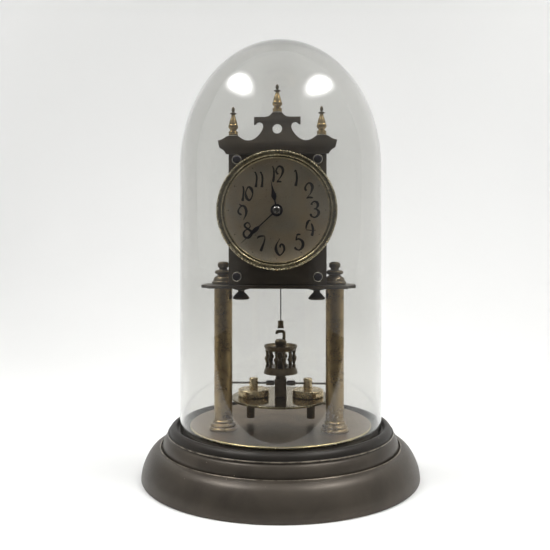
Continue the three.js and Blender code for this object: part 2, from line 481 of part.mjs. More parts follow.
// ---------------------------------------------------------------- pendulum
// hook, boss, square stem and threaded tail in one
add('pendulum_stem', cut(union(
  plateY([[1.1, 95], [3.6, 95], [3.6, 102.4], [2.2, 103.8], [-2.4, 103.8], [-3.5, 102.6], [-3.5, 100.4], [-1.9, 100.4], [-1.2, 101.1], [0.4, 101.1], [1.1, 100.2]], -1, 1),
  turnZ([[0, 70.2], [3.6, 70.2], [3.6, 93.2], [4.3, 93.6], [4.3, 96.2], [3.2, 97], [0, 97]], 12),
  box(-4.15, 4.15, -4.15, 4.15, PEND_DISC_TOP + GAP, 68.4),
  turnZ([[0, 68], [3.7, 68], [3.7, 70.4], [0, 70.4]], 12)),
  turnX([[0, -9], [1.15, -9], [1.15, 9], [0, 9]], 10, 0, ROD_Z)), brass());
// pierced gallery: two flared rings joined by twelve turned spindles
{
  const parts = [
    turnZ([[3.9, 88.6], [10.8, 88.6], [12.35, 92.6], [11.4, 92.6], [10.2, 90.2], [3.9, 90.2], [3.9, 88.6]], 20),
    turnZ([[3.9, 74.6], [10.2, 74.6], [12.35, 72.2], [12.35, 73.8], [10.9, 77.4], [3.9, 76.2], [3.9, 74.6]], 20),
  ];
  for (let i = 0; i < 12; i++) {
    const a = 2 * Math.PI * (i + 0.5) / 12;
    parts.push(turnZ([[0, 76], [1.2, 76], [0.8, 79.6], [1.7, 83.2], [0.8, 86.4], [1.2, 89], [0, 89]], 5, 10.1 * Math.cos(a), 10.1 * Math.sin(a)));
  }
  add('gallery', union(...parts), brass());
}
add('pendulum_disc', cut(union(turnZ([[0, PEND_DISC_TOP - 1.6], [PEND_DISC_R - 0.4, PEND_DISC_TOP - 1.6], [PEND_DISC_R, PEND_DISC_TOP - 1.2], [PEND_DISC_R, PEND_DISC_TOP - 0.3], [PEND_DISC_R - 0.3, PEND_DISC_TOP], [0, PEND_DISC_TOP]], 28),
  barZ(3, 39.6, PEND_DISC_TOP - 1, -22, 0, 10), barZ(3, 39.6, PEND_DISC_TOP - 1, 22, 0, 10))), brass());
for (const [side, s] of [['left', -1], ['right', 1]]) {
  add(`weight_${side}`, cut(union(
    turnZ([[0, PEND_DISC_TOP + GAP], [WEIGHT_R, PEND_DISC_TOP + GAP], [WEIGHT_R, 59.9], [WEIGHT_R - 0.7, 60.5], [0, 60.5]], 16, s * WEIGHT_X, 0),
    turnZ([[0, 60], [3.25, 60], [3.25, 68.2], [2.6, 68.8], [0, 68.8]], 12, s * WEIGHT_X, 0)),
    turnX([[0, s > 0 ? 14 : -28], [1.05, s > 0 ? 14 : -28], [1.05, s > 0 ? 28 : -14], [0, s > 0 ? 28 : -14]], 10, 0, ROD_Z)), brass());
}
// regulating rod: right and left hand threads, with collars beside the stem
add('regulator_rod', turnX([[0, -36], [0.85, -36], [0.85, -10.6], [1.9, -10.6], [1.9, -4.6], [0.85, -4.6], [0.85, 4.6], [1.9, 4.6], [1.9, 10.6], [0.85, 10.6], [0.85, 36], [0, 36]], 10, 0, ROD_Z), steel());

export default root;
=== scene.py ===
import bpy, bmesh, math, random
from mathutils import Vector, Matrix


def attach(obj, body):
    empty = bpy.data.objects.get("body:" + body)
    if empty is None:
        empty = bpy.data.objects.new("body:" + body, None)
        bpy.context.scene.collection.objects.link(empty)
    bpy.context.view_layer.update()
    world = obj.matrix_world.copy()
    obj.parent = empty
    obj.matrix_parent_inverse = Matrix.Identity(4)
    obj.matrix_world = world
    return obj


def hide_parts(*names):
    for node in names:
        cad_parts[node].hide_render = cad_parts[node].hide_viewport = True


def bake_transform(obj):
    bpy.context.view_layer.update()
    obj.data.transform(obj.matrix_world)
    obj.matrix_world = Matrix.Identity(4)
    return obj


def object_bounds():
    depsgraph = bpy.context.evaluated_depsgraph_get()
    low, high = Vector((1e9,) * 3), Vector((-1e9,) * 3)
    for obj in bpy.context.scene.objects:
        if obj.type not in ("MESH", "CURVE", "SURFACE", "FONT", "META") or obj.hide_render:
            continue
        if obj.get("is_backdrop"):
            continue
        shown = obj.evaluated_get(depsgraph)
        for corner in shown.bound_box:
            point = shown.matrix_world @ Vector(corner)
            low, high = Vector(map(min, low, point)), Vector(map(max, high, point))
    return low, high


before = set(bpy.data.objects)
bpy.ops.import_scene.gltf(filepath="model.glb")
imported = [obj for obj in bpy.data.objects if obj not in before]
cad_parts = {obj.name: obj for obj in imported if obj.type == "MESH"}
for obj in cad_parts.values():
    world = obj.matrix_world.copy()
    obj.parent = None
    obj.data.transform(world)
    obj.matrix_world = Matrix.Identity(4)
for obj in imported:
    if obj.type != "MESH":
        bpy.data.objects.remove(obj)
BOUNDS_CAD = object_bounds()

random.seed(7)
MM = 0.001
scene = bpy.context.scene
coll = scene.collection
pi, tau, sin, cos = math.pi, 2 * math.pi, math.sin, math.cos


# ------------------------------------------------------------ materials
def new_mat(name):
    m = bpy.data.materials.new(name)
    m.use_nodes = True
    nt = m.node_tree
    nt.nodes.clear()
    out = nt.nodes.new("ShaderNodeOutputMaterial")
    return m, nt, out


def node(nt, kind, **kw):
    n = nt.nodes.new(kind)
    for k, v in kw.items():
        setattr(n, k, v)
    return n


def noise(nt, coord, scale, detail=4, rough=0.55, distortion=0.0):
    n = node(nt, "ShaderNodeTexNoise")
    n.inputs["Scale"].default_value = scale
    n.inputs["Detail"].default_value = detail
    n.inputs["Roughness"].default_value = rough
    n.inputs["Distortion"].default_value = distortion
    nt.links.new(coord, n.inputs["Vector"])
    return n.outputs["Fac"]


def ramp(nt, fac, stops):
    r = node(nt, "ShaderNodeValToRGB")
    e = r.color_ramp.elements
    e[0].position, e[0].color = stops[0][0], (*stops[0][1], 1)
    e[1].position, e[1].color = stops[-1][0], (*stops[-1][1], 1)
    for p, c in stops[1:-1]:
        x = e.new(p)
        x.color = (*c, 1)
    nt.links.new(fac, r.inputs["Fac"])
    return r.outputs["Color"]


def remap(nt, fac, a, b, c, d):
    n = node(nt, "ShaderNodeMapRange")
    n.inputs["From Min"].default_value = a
    n.inputs["From Max"].default_value = b
    n.inputs["To Min"].default_value = c
    n.inputs["To Max"].default_value = d
    nt.links.new(fac, n.inputs["Value"])
    return n.outputs["Result"]


def mixc(nt, fac, a, b, mode="MIX"):
    n = node(nt, "ShaderNodeMix", data_type="RGBA", blend_type=mode)
    for sock, v in ((n.inputs[0], fac), (n.inputs[6], a), (n.inputs[7], b)):
        if isinstance(v, (int, float)):
            sock.default_value = v
        elif isinstance(v, tuple):
            sock.default_value = (*v, 1)
        else:
            nt.links.new(v, sock)
    return n.outputs[2]


def metal(name, light, dark, rough, metallic=1.0, scale=60, fine=900, bump=0.02, stretch=(1, 1, 1), speck=None, spec=0.5):
    """Tarnished metal: two tones in soft blotches, a fine grain in the gloss, and specks if asked."""
    m, nt, out = new_mat(name)
    tc = node(nt, "ShaderNodeTexCoord")
    mp = node(nt, "ShaderNodeMapping")
    mp.inputs["Scale"].default_value = stretch
    nt.links.new(tc.outputs["Object"], mp.inputs["Vector"])
    v = mp.outputs["Vector"]
    big = noise(nt, v, scale, 5, 0.6, 0.4)
    small = noise(nt, v, fine, 3, 0.5)
    col = ramp(nt, big, [(0.32, dark), (0.68, light)])
    if speck:
        vo = node(nt, "ShaderNodeTexVoronoi")
        vo.inputs["Scale"].default_value = speck[0]
        nt.links.new(tc.outputs["Object"], vo.inputs["Vector"])
        gate = noise(nt, tc.outputs["Object"], speck[0] * 0.31, 2, 0.5)
        a = remap(nt, vo.outputs["Distance"], speck[1], speck[1] * 0.5, 0, 1)
        g = remap(nt, gate, 0.6, 0.68, 0, 1)
        mul = node(nt, "ShaderNodeMath", operation="MULTIPLY")
        nt.links.new(a, mul.inputs[0])
        nt.links.new(g, mul.inputs[1])
        col = mixc(nt, mul.outputs[0], col, speck[2])
    b = node(nt, "ShaderNodeBsdfPrincipled")
    nt.links.new(col, b.inputs["Base Color"])
    b.inputs["Metallic"].default_value = metallic
    b.inputs["Specular IOR Level"].default_value = spec
    mixv = node(nt, "ShaderNodeMath", operation="ADD")
    nt.links.new(remap(nt, big, 0.3, 0.7, -0.5, 0.5), mixv.inputs[0])
    nt.links.new(remap(nt, small, 0.3, 0.7, -0.5, 0.5), mixv.inputs[1])
    nt.links.new(remap(nt, mixv.outputs[0], -1, 1, rough[0], rough[1]), b.inputs["Roughness"])
    if bump:
        bp = node(nt, "ShaderNodeBump")
        bp.inputs["Strength"].default_value = bump
        bp.inputs["Distance"].default_value = 0.0004
        nt.links.new(small, bp.inputs["Height"])
        nt.links.new(bp.outputs["Normal"], b.inputs["Normal"])
    nt.links.new(b.outputs["BSDF"], out.inputs["Surface"])
    return m


M = {}
M["patina"] = metal("patinated_bronze", (0.078, 0.0645, 0.05), (0.048, 0.0395, 0.031), (0.34, 0.47), metallic=0.5, scale=28, fine=700, bump=0.05, speck=(260, 0.12, (0.3, 0.25, 0.19)), spec=0.45)
# A darker copy of the patina for the top of the base, above the upper bead and in the dome's groove: the top of the
# base is darker.
M["patina_up"] = metal("patinated_bronze_darker_top", (0.03, 0.0255, 0.021), (0.018, 0.0155, 0.013), (0.4, 0.52), metallic=0.4, scale=28, fine=700, bump=0.05, speck=(260, 0.12, (0.3, 0.25, 0.19)), spec=0.32)
M["patina_edge"] = metal("patinated_bronze_worn_edge", (0.36, 0.31, 0.24), (0.07, 0.06, 0.05), (0.28, 0.42), metallic=0.9, scale=150, fine=900, bump=0.03)


def disc_material():
    """Tarnished brass disc, uneven all over, with stray bright specks."""
    m, nt, out = new_mat("polished_brass_disc")
    tc = node(nt, "ShaderNodeTexCoord")
    v = tc.outputs["Object"]
    big = noise(nt, v, 34, 5, 0.6, 0.4)
    small = noise(nt, v, 800, 3, 0.5)
    col = ramp(nt, big, [(0.3, (0.175, 0.125, 0.078)), (0.7, (0.285, 0.21, 0.135))])
    vo = node(nt, "ShaderNodeTexVoronoi")
    vo.inputs["Scale"].default_value = 330
    nt.links.new(v, vo.inputs["Vector"])
    mul = node(nt, "ShaderNodeMath", operation="MULTIPLY")
    nt.links.new(remap(nt, vo.outputs["Distance"], 0.16, 0.08, 0, 1), mul.inputs[0])
    nt.links.new(remap(nt, noise(nt, v, 100, 2, 0.5), 0.6, 0.68, 0, 1), mul.inputs[1])
    col = mixc(nt, mul.outputs[0], col, (0.8, 0.58, 0.36))
    b = node(nt, "ShaderNodeBsdfPrincipled")
    nt.links.new(col, b.inputs["Base Color"])
    b.inputs["Metallic"].default_value = 1.0
    nt.links.new(remap(nt, small, 0.3, 0.7, 0.3, 0.4), b.inputs["Roughness"])
    nt.links.new(b.outputs["BSDF"], out.inputs["Surface"])
    return m


M["disc"] = disc_material()
M["disc_edge"] = metal("brass_disc_edge", (0.78, 0.64, 0.33), (0.62, 0.5, 0.25), (0.2, 0.3), scale=60, fine=800, bump=0)
M["dark"] = metal("dark_bronze", (0.08, 0.062, 0.043), (0.055, 0.043, 0.03), (0.36, 0.5), metallic=0.5, scale=45, fine=800, bump=0.03, speck=(420, 0.1, (0.3, 0.26, 0.2)), spec=0.4)
M["dark_edge"] = metal("dark_bronze_edge", (0.4, 0.35, 0.27), (0.06, 0.05, 0.04), (0.25, 0.4), metallic=0.9, scale=200, fine=900, bump=0.0)
M["weight"] = metal("aged_brass_weight", (0.74, 0.61, 0.39), (0.54, 0.43, 0.27), (0.2, 0.34), scale=90, fine=1100, bump=0.02)
M["brass"] = metal("aged_brass", (0.38, 0.272, 0.128), (0.24, 0.166, 0.076), (0.22, 0.38), scale=90, fine=1100, bump=0.03)
M["mirror_brass"] = metal("aged_brass_polished", (0.42, 0.35, 0.24), (0.33, 0.27, 0.175), (0.06, 0.14), scale=60, fine=900, bump=0.0)
M["brass_dark"] = metal("aged_brass_dark", (0.18, 0.142, 0.092), (0.095, 0.075, 0.05), (0.26, 0.42), scale=90, fine=1100, bump=0.03)
# Painted reflection: near-white metal for the nuts' outer edges, partly a polished edge and partly the bright
# reflection crescents painted in.
M["rim"] = metal("polished_rim_painted_reflection", (0.9, 0.86, 0.76), (0.7, 0.64, 0.52), (0.15, 0.28), scale=200, fine=900, bump=0)
M["rope"] = metal("rope_brass", (0.62, 0.54, 0.36), (0.4, 0.34, 0.21), (0.2, 0.32), scale=200, fine=900, bump=0)
M["bezel"] = metal("bezel_brass", (0.215, 0.185, 0.115), (0.135, 0.112, 0.066), (0.22, 0.36), scale=110, fine=1100, bump=0.02)
M["bezel_line"] = metal("bezel_brass_bright", (0.85, 0.74, 0.48), (0.6, 0.5, 0.3), (0.18, 0.3), scale=110, fine=1100, bump=0)
M["bright"] = metal("bright_brass", (0.46, 0.34, 0.175), (0.28, 0.2, 0.095), (0.16, 0.28), scale=160, fine=1200, bump=0.02)
M["wheel"] = metal("wheel_brass", (0.6, 0.46, 0.23), (0.46, 0.34, 0.16), (0.28, 0.4), scale=120, fine=1500, bump=0.02)
M["steel"] = metal("steel", (0.36, 0.35, 0.34), (0.2, 0.19, 0.18), (0.25, 0.4), scale=200, fine=1500, bump=0.02)
M["blued"] = metal("blued_steel", (0.028, 0.024, 0.032), (0.018, 0.015, 0.02), (0.3, 0.42), metallic=0.6, scale=200, fine=900, bump=0)


def dial_material():
    m, nt, out = new_mat("dial_metal")
    tc = node(nt, "ShaderNodeTexCoord")
    big = noise(nt, tc.outputs["Object"], 42, 4, 0.55, 0.5)
    tint = noise(nt, tc.outputs["Object"], 30, 3, 0.5, 0.8)
    small = noise(nt, tc.outputs["Object"], 1300, 3, 0.6)
    grey = ramp(nt, big, [(0.3, (0.44, 0.385, 0.3)), (0.7, (0.54, 0.475, 0.365))])
    brown = ramp(nt, big, [(0.3, (0.5, 0.39, 0.27)), (0.7, (0.6, 0.485, 0.34))])
    col = mixc(nt, remap(nt, tint, 0.42, 0.6, 0, 1), grey, brown)
    b = node(nt, "ShaderNodeBsdfPrincipled")
    nt.links.new(col, b.inputs["Base Color"])
    b.inputs["Metallic"].default_value = 0.9
    nt.links.new(remap(nt, small, 0.3, 0.7, 0.26, 0.38), b.inputs["Roughness"])
    bp = node(nt, "ShaderNodeBump")
    bp.inputs["Strength"].default_value = 0.04
    bp.inputs["Distance"].default_value = 0.0003
    nt.links.new(small, bp.inputs["Height"])
    nt.links.new(bp.outputs["Normal"], b.inputs["Normal"])
    nt.links.new(b.outputs["BSDF"], out.inputs["Surface"])
    return m


M["dial"] = dial_material()
M["ink"] = metal("numeral_black", (0.016, 0.013, 0.011), (0.01, 0.008, 0.007), (0.45, 0.6), metallic=0.0, scale=300, fine=900, bump=0, spec=0.3)


def glass_material():
    m, nt, out = new_mat("clear_glass")
    b = node(nt, "ShaderNodeBsdfPrincipled")
    b.inputs["Base Color"].default_value = (0.8, 0.8, 0.785, 1)
    b.inputs["Roughness"].default_value = 0.0
    b.inputs["IOR"].default_value = 1.5
    b.inputs["Transmission Weight"].default_value = 1.0
    t = node(nt, "ShaderNodeBsdfTransparent")
    t.inputs["Color"].default_value = (0.93, 0.935, 0.935, 1)
    lp = node(nt, "ShaderNodeLightPath")
    mix = node(nt, "ShaderNodeMixShader")
    nt.links.new(lp.outputs["Is Shadow Ray"], mix.inputs[0])
    nt.links.new(b.outputs["BSDF"], mix.inputs[1])
    nt.links.new(t.outputs["BSDF"], mix.inputs[2])
    nt.links.new(mix.outputs[0], out.inputs["Surface"])
    return m


M["glass"] = glass_material()


# ------------------------------------------------------------ mesh helpers (millimetres)
def make(name, parts, mats, body, reps=(), sharp=38):
    """One object from parts, each (vertices, faces, material index or list of them)."""
    if isinstance(mats, str):
        mats = [mats]
    verts, faces, fm = [], [], []
    for vs, fs, mi in parts:
        k = len(verts)
        verts += [(x * MM, y * MM, z * MM) for x, y, z in vs]
        for j, f in enumerate(fs):
            faces.append([i + k for i in f])
            fm.append(mi[j] if isinstance(mi, list) else mi)
    me = bpy.data.meshes.new(name)
    me.from_pydata(verts, [], faces)
    for k in mats:
        me.materials.append(M[k])
    me.polygons.foreach_set("material_index", fm)
    bm = bmesh.new()
    bm.from_mesh(me)
    bmesh.ops.remove_doubles(bm, verts=bm.verts, dist=2e-7)
    bmesh.ops.dissolve_degenerate(bm, edges=bm.edges, dist=1e-7)
    bmesh.ops.recalc_face_normals(bm, faces=bm.faces)
    bm.to_mesh(me)
    bm.free()
    me.polygons.foreach_set("use_smooth", [not (abs(q.normal.z) > 0.999995 or (abs(q.normal.y) > 0.999995 and q.loop_total == 3)) for q in me.polygons])
    me.set_sharp_from_angle(angle=math.radians(sharp))
    o = bpy.data.objects.new(name, me)
    coll.objects.link(o)
    if body:
        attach(o, body)
    if reps:
        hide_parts(*reps)
    return o


def soft(prof, r=0.3, n=3, closed=False):
    """A profile with each corner rounded by r."""
    out, N = [], len(prof)
    for i, p in enumerate(prof):
        if (not closed and i in (0, N - 1)) or abs(p[0]) < 1e-6:
            out.append((p[0], p[1]))
            continue
        a, b, c = Vector(prof[i - 1][:2]), Vector(p[:2]), Vector(prof[(i + 1) % N][:2])
        d1, d2 = a - b, c - b
        if d1.length < 1e-6 or d2.length < 1e-6:
            continue
        rr = min(p[2] if len(p) > 2 else r, d1.length * 0.48, d2.length * 0.48)
        turn = pi - d1.angle(d2)
        if rr < 1e-3 or turn < 0.05:
            out.append((b.x, b.y))
            continue
        p1, p2 = b + d1.normalized() * rr, b + d2.normalized() * rr
        for k in range(n + 1):
            t = k / n
            q = p1 * (1 - t) ** 2 + b * (2 * t * (1 - t)) + p2 * (t * t)
            out.append((q.x, q.y))
    return out


def spline(pts, per=6, closed=False):
    """Smooth curve through points of any dimension."""
    out, N = [], len(pts)
    segs = N if closed else N - 1
    for i in range(segs):
        p = [pts[(i + k - 1) % N] if closed else pts[min(max(i + k - 1, 0), N - 1)] for k in range(4)]
        for s in range(per):
            t = s / per
            out.append(tuple(0.5 * (2 * b + (c - a) * t + (2 * a - 5 * b + 4 * c - d) * t * t + (3 * b - a - 3 * c + d) * t ** 3)
                             for a, b, c, d in zip(*p)))
    if not closed:
        out.append(tuple(pts[-1]))
    return out


def supported(prof, closed):
    """Adds points near both ends of each long straight run, which keep a rounded corner from shading
    the flat or cylinder beside it. Also gives the midpoint of the run each new segment belongs to."""
    out, mids, n = [], [], len(prof)
    for i in range(n):
        out.append(prof[i])
        if i == n - 1 and not closed:
            break
        a, b = prof[i], prof[(i + 1) % n]
        m = ((a[0] + b[0]) / 2, (a[1] + b[1]) / 2)
        run = math.hypot(b[0] - a[0], b[1] - a[1])
        mids.append(m)
        if run > 0.9 and min(abs(b[0] - a[0]), abs(b[1] - a[1])) < 1e-4:
            for t in (0.12 / run, 1 - 0.12 / run):
                out.append((a[0] + (b[0] - a[0]) * t, a[1] + (b[1] - a[1]) * t))
                mids.append(m)
    return out, mids


def lathe(prof, axis="Z", c=(0, 0, 0), seg=64, closed=False, mi=0, mod=None, picks=None):
    """Turned part. picks gives a material index from a profile segment's midpoint."""
    prof, mids = supported(prof, closed)
    verts, faces, fm, n = [], [], [], len(prof)
    for j in range(seg):
        a = tau * j / seg
        for r, h in prof:
            q = mod(r, h, a) if mod else r
            u, v = q * cos(a), q * sin(a)
            p = {"Z": (u, v, h), "Y": (u, h, v), "X": (h, u, v)}[axis]
            verts.append((p[0] + c[0], p[1] + c[1], p[2] + c[2]))
    for j in range(seg):
        k = (j + 1) % seg
        for i in range(n if closed else n - 1):
            i2 = (i + 1) % n
            f = [j * n + i, j * n + i2, k * n + i2, k * n + i]
            if prof[i][0] < 1e-6 and prof[i2][0] < 1e-6:
                continue
            if prof[i][0] < 1e-6:
                f = [j * n + i, j * n + i2, k * n + i2]
            elif prof[i2][0] < 1e-6:
                f = [j * n + i, j * n + i2, k * n + i]
            faces.append(f)
            if picks:
                fm.append(picks(*mids[i]))
            else:
                fm.append(mi)
    return verts, faces, fm


def merge_axis(prof):
    return [(0.0 if abs(r) < 1e-6 else r, h) for r, h in prof]


def flat(outlines, lo, hi, plane="XZ", bevel=0.15, mi=0, res=1):
    """Plate from closed outlines (holes are outlines inside), between two faces, edges rounded."""
    cu = bpy.data.curves.new("t", "CURVE")
    cu.dimensions = "2D"
    cu.fill_mode = "BOTH"
    bevel = min(bevel, (hi - lo) / 2 * 0.9)
    cu.extrude = (hi - lo) / 2 - bevel
    cu.bevel_depth = bevel
    cu.bevel_resolution = res
    cu.offset = -bevel
    for pts in outlines:
        s = cu.splines.new("POLY")
        s.points.add(len(pts) - 1)
        for p, (x, y) in zip(s.points, pts):
            p.co = (x, y, 0, 1)
        s.use_cyclic_u = True
    o = bpy.data.objects.new("t", cu)
    coll.objects.link(o)
    dg = bpy.context.evaluated_depsgraph_get()
    me = bpy.data.meshes.new_from_object(o.evaluated_get(dg))
    mid = (lo + hi) / 2
    if plane == "XZ":
        verts = [(v.co.x, mid - v.co.z, v.co.y) for v in me.vertices]
    else:
        verts = [(v.co.x, v.co.y, mid + v.co.z) for v in me.vertices]
    faces = [list(p.vertices) for p in me.polygons]
    bpy.data.objects.remove(o)
    bpy.data.curves.remove(cu)
    bpy.data.meshes.remove(me)
    return verts, faces, mi


def block(x0, x1, y0, y1, z0, z1, bevel=0.2, mi=0):
    return flat([rounded([(x0, z0), (x1, z0), (x1, z1), (x0, z1)], min(bevel, 0.3 * min(x1 - x0, z1 - z0)), 2)], y0, y1, "XZ", min(bevel, 0.3 * (y1 - y0)), mi)


def rounded(pts, r, n=3):
    return soft([(x + 1e4, y) for x, y in pts], r, n, True) and [(x - 1e4, y) for x, y in soft([(x + 1e4, y) for x, y in pts], r, n, True)]


def ring(r, x, z, seg=28, ph=0.0):
    return [(x + r * cos(ph + tau * i / seg), z + r * sin(ph + tau * i / seg)) for i in range(seg)]


def barY(r, y0, y1, x, z, seg=24, e=0.15, mi=0):
    return lathe(soft([(0, y0), (r, y0), (r, y1), (0, y1)], e, 2), "Y", (x, 0, z), seg, mi=mi)


def barZ(r, z0, z1, x, y, seg=24, e=0.15, mi=0):
    return lathe(soft([(0, z0), (r, z0), (r, z1), (0, z1)], e, 2), "Z", (x, y, 0), seg, mi=mi)


def sweep(path, radius, seg=12, mi=0):
    """Round rod along a path, its ends closed."""
    P = [Vector(p) for p in path]
    verts, faces = [], []
    up = Vector((0, 1, 0))
    for i, p in enumerate(P):
        t = (P[min(i + 1, len(P) - 1)] - P[max(i - 1, 0)]).normalized()
        s = t.cross(up)
        s = s.normalized() if s.length > 1e-6 else Vector((1, 0, 0))
        w = t.cross(s).normalized()
        r = radius(i / (len(P) - 1)) if callable(radius) else radius
        for k in range(seg):
            a = tau * k / seg
            verts.append(tuple(p + s * (r * cos(a)) + w * (r * sin(a))))
    for i in range(len(P) - 1):
        for k in range(seg):
            k2 = (k + 1) % seg
            faces.append([i * seg + k, i * seg + k2, (i + 1) * seg + k2, (i + 1) * seg + k])
    faces.append(list(range(seg)))
    faces.append([(len(P) - 1) * seg + k for k in range(seg)])
    return verts, faces, mi


# ------------------------------------------------------------ dimensions shared with the CAD
GAP = 0.3
PX, PY = 38.8, -24
CZ = 189.0
B, S, T, C, E, A = (9, 162.5), (-8.34, 172.5), (-14.51, 188.6), (0, CZ), (0, 202.64), (0, 215.2)
MW = (7.42, CZ - 7.42)
LEAVES = 6
dist = lambda p, q: math.hypot(p[0] - q[0], p[1] - q[1])
direc = lambda p, q: math.atan2(q[1] - p[1], q[0] - p[0])
M_BS = 2 * dist(B, S) / 78
M_ST = 2 * dist(S, T) / 72
M_TC = 2 * dist(T, C) / 66
M_CE = 2 * dist(C, E) / 66
M_CM = 2 * dist(C, MW) / 40
M_MH = 2 * dist(C, MW) / 40

# ------------------------------------------------------------ base
base_prof = [(94, 0.0), (99.2, 0.0), (99.9, 0.5)]
base_prof += spline([(99.95, 1.0), (99.8, 3.2), (99.0, 7.4), (97.4, 11.6), (95.2, 15.8), (92.6, 19.2), (89.6, 21.3), (87.2, 21.9)], 5)
base_prof += [(86.95, 22.0), (86.9, 22.3), (86.6, 22.5), (86.25, 22.4), (86.1, 22.0), (86.0, 21.3), (85.4, 20.9), (85.0, 21.2)]
base_prof += spline([(84.95, 21.9), (84.7, 24.2), (83.8, 26.8), (82.6, 28.9), (81.75, 29.9)], 4)
base_prof += [(81.45, 30.4), (81.6, 31.2), (81.35, 31.9), (80.9, 32.1), (80.45, 31.9), (80.3, 32.4)]
base_prof += spline([(80.2, 33.0), (79.6, 34.4), (78.6, 35.6), (77.4, 36.35), (76.6, 36.5)], 3)
base_prof += [(75.6, 36.4), (75.05, 35.9), (74.7, 34.2), (74.2, 33.2), (70.1, 33.05), (69.6, 34.2), (69.2, 34.4), (62, 34.4), (62, 32.2),
              (68, 30.6), (76.4, 30.6), (82.2, 19.4), (88.6, 19), (94.6, 11), (97.2, 2), (94.3, 2)]


def base_pick(r, h):
    if 86.05 < r < 86.96 and h > 22.0:
        return 1
    if r > 81.2 and 31.0 < h < 32.1:
        return 1
    if r > 99.3 and h < 0.45:
        return 1
    # the top of the base, above the upper bead and in the dome's groove, takes the darker copy of the patina
    if h > 30.2 or (h > 25 and r < 80):
        return 2
    return 0


make("v_base_shell", [lathe(base_prof, seg=192, closed=True, picks=base_pick)], ["patina", "patina_edge", "patina_up"], "frame", ["base_shell"], 50)
make("v_base_plate", [lathe(soft([(0, 34.8), (65.1, 34.8), (65.7, 35.4), (65.7, 36.3), (65.0, 36.8), (0, 36.8)], 0.3, 3), seg=160,
                            picks=lambda r, h: 1 if r > 64.9 else 0)], ["disc", "disc_edge"], "frame", ["base_plate"])

# ------------------------------------------------------------ dome
ro, ri, z0, zc, hc = 72.8, 71.3, 33.3, 222, 91.8
dp = [(ri + 0.15, z0), (ro - 0.15, z0), (ro, z0 + 0.2), (ro, z0 + 0.35), (ro, z0 + 0.6), (ro, z0 + 1.2)]
n = 40
dp += [(ro, 60), (ro, 120), (ro, 180)]
for i in range(n + 1):
    a = pi / 2 * i / n
    dp.append((ro * cos(a) if i < n else 0.0, zc + hc * sin(a)))
for i in range(n, -1, -1):
    a = pi / 2 * i / n
    dp.append((ri * cos(a) if i < n else 0.0, zc + (hc - 1.5) * sin(a)))
dp += [(ri, 180), (ri, 120), (ri, 60), (ri, z0 + 1.2), (ri, z0 + 0.6), (ri, z0 + 0.35), (ri, z0 + 0.2)]
make("v_glass_dome", [lathe(dp, seg=160, closed=True)], "glass", "dome", ["glass_dome"], 30)

# ------------------------------------------------------------ pillars, caps, bolts, shelf
for side, s in (("left", -1), ("right", 1)):
    x = s * PX
    z = 37.1
    prof = [(1.85, z), (9.6, z), (9.7, z + 0.5)] + spline([(9.7, z + 0.9), (9.35, z + 1.7), (8.7, z + 2.2)], 3) + \
        spline([(8.5, z + 2.5), (8.95, z + 3.0), (9.05, z + 3.6), (8.6, z + 4.3)], 3) + \
        spline([(8.0, z + 4.5), (7.2, z + 5.0), (7.15, z + 5.6)], 3) + [(7.35, z + 6.0), (7.2, z + 6.5), (6.6, z + 6.9)] + \
        [(6.3, z + 7.6), (6.3, 70), (6.3, 105), (6.3, 135.2), (6.1, 136.1), (1.85, 136.1)]
    make(f"v_pillar_{side}", [lathe(prof, c=(x, PY, 0), seg=48, closed=True)], "brass", "frame", [f"pillar_{side}"])
    make(f"v_pillar_bolt_{side}", [lathe(merge_axis(soft([(0, 29.6), (4, 29.6), (4, 32.6), (6, 32.9), (6, 34.5), (1.6, 34.5), (1.6, 143.2), (0, 143.2)], 0.2, 2)), c=(x, PY, 0), seg=24,
          mod=lambda r, h, a: r * (1 - 0.13 * (0.5 - 0.5 * cos(6 * a))) if h < 32.7 and r > 3 else r)],
         "steel", "frame", [f"pillar_bolt_{side}"])
    cap = [(1.9, 138.7), (7.8, 138.7), (7.9, 139.1), (7.9, 140.2), (7.5, 140.7)] + spline([(7.0, 140.9), (6.7, 141.9), (6.1, 143.2), (4.8, 144.1)], 3) + \
        [(4.1, 144.5), (4.0, 145.2), (5.2, 145.6)] + spline([(5.8, 146.1), (5.95, 146.9), (5.5, 147.8), (3.8, 148.4)], 3) + \
        [(2.8, 148.8), (2.75, 149.2)] + spline([(3.0, 149.7), (3.85, 150.7), (3.95, 152.0), (3.5, 153.3), (2.2, 154.05), (0.0, 154.2)], 4) + \
        [(0.0, 143.6), (1.9, 143.6)]
    make(f"v_pillar_cap_{side}", [lathe(merge_axis(cap), c=(x, PY, 0), seg=40, closed=True)], "brass_dark", "frame", [f"pillar_cap_{side}"])
    ts = [(0, 127.8), (4.8, 127.8), (5.6, 128.2), (5.8, 128.7), (5.7, 129.3)] + spline([(5.2, 129.8), (3.8, 131.6), (2.5, 132.8), (2.2, 133.4)], 3) + \
        [(2.4, 134.2), (5.4, 134.9), (6, 135.3), (6, 136.0), (1.5, 136.1), (1.5, 141), (0, 141)]
    make(f"v_thumb_screw_{side}", [lathe(ts, c=(s * 26.3, PY, 0), seg=72, mod=lambda r, h, a: r * (1 - 0.025 * (0.5 - 0.5 * cos(24 * a))) if r > 4.9 and h < 130 else r)],
         "dark", "frame", [f"thumb_screw_{side}"])

half = [(47, -43), (47.6, -38.5), (49.6, -35.4), (52.2, -33.6), (52.9, -31.8), (52.9, -16.2), (52.2, -14.4), (49.6, -12.6), (47.6, -9.5), (47, -5)]
shelf_pts = half + [(-x, y) for x, y in reversed(half)]
make("v_shelf", [flat([rounded(shelf_pts, 0.6, 2)] + [ring(1.85, x, PY, 16) for x in (-PX, PX, -26.3, 26.3)], 136.4, 138.4, "XY", 0.25, 0, 2)],
     "dark", "frame", ["shelf"])

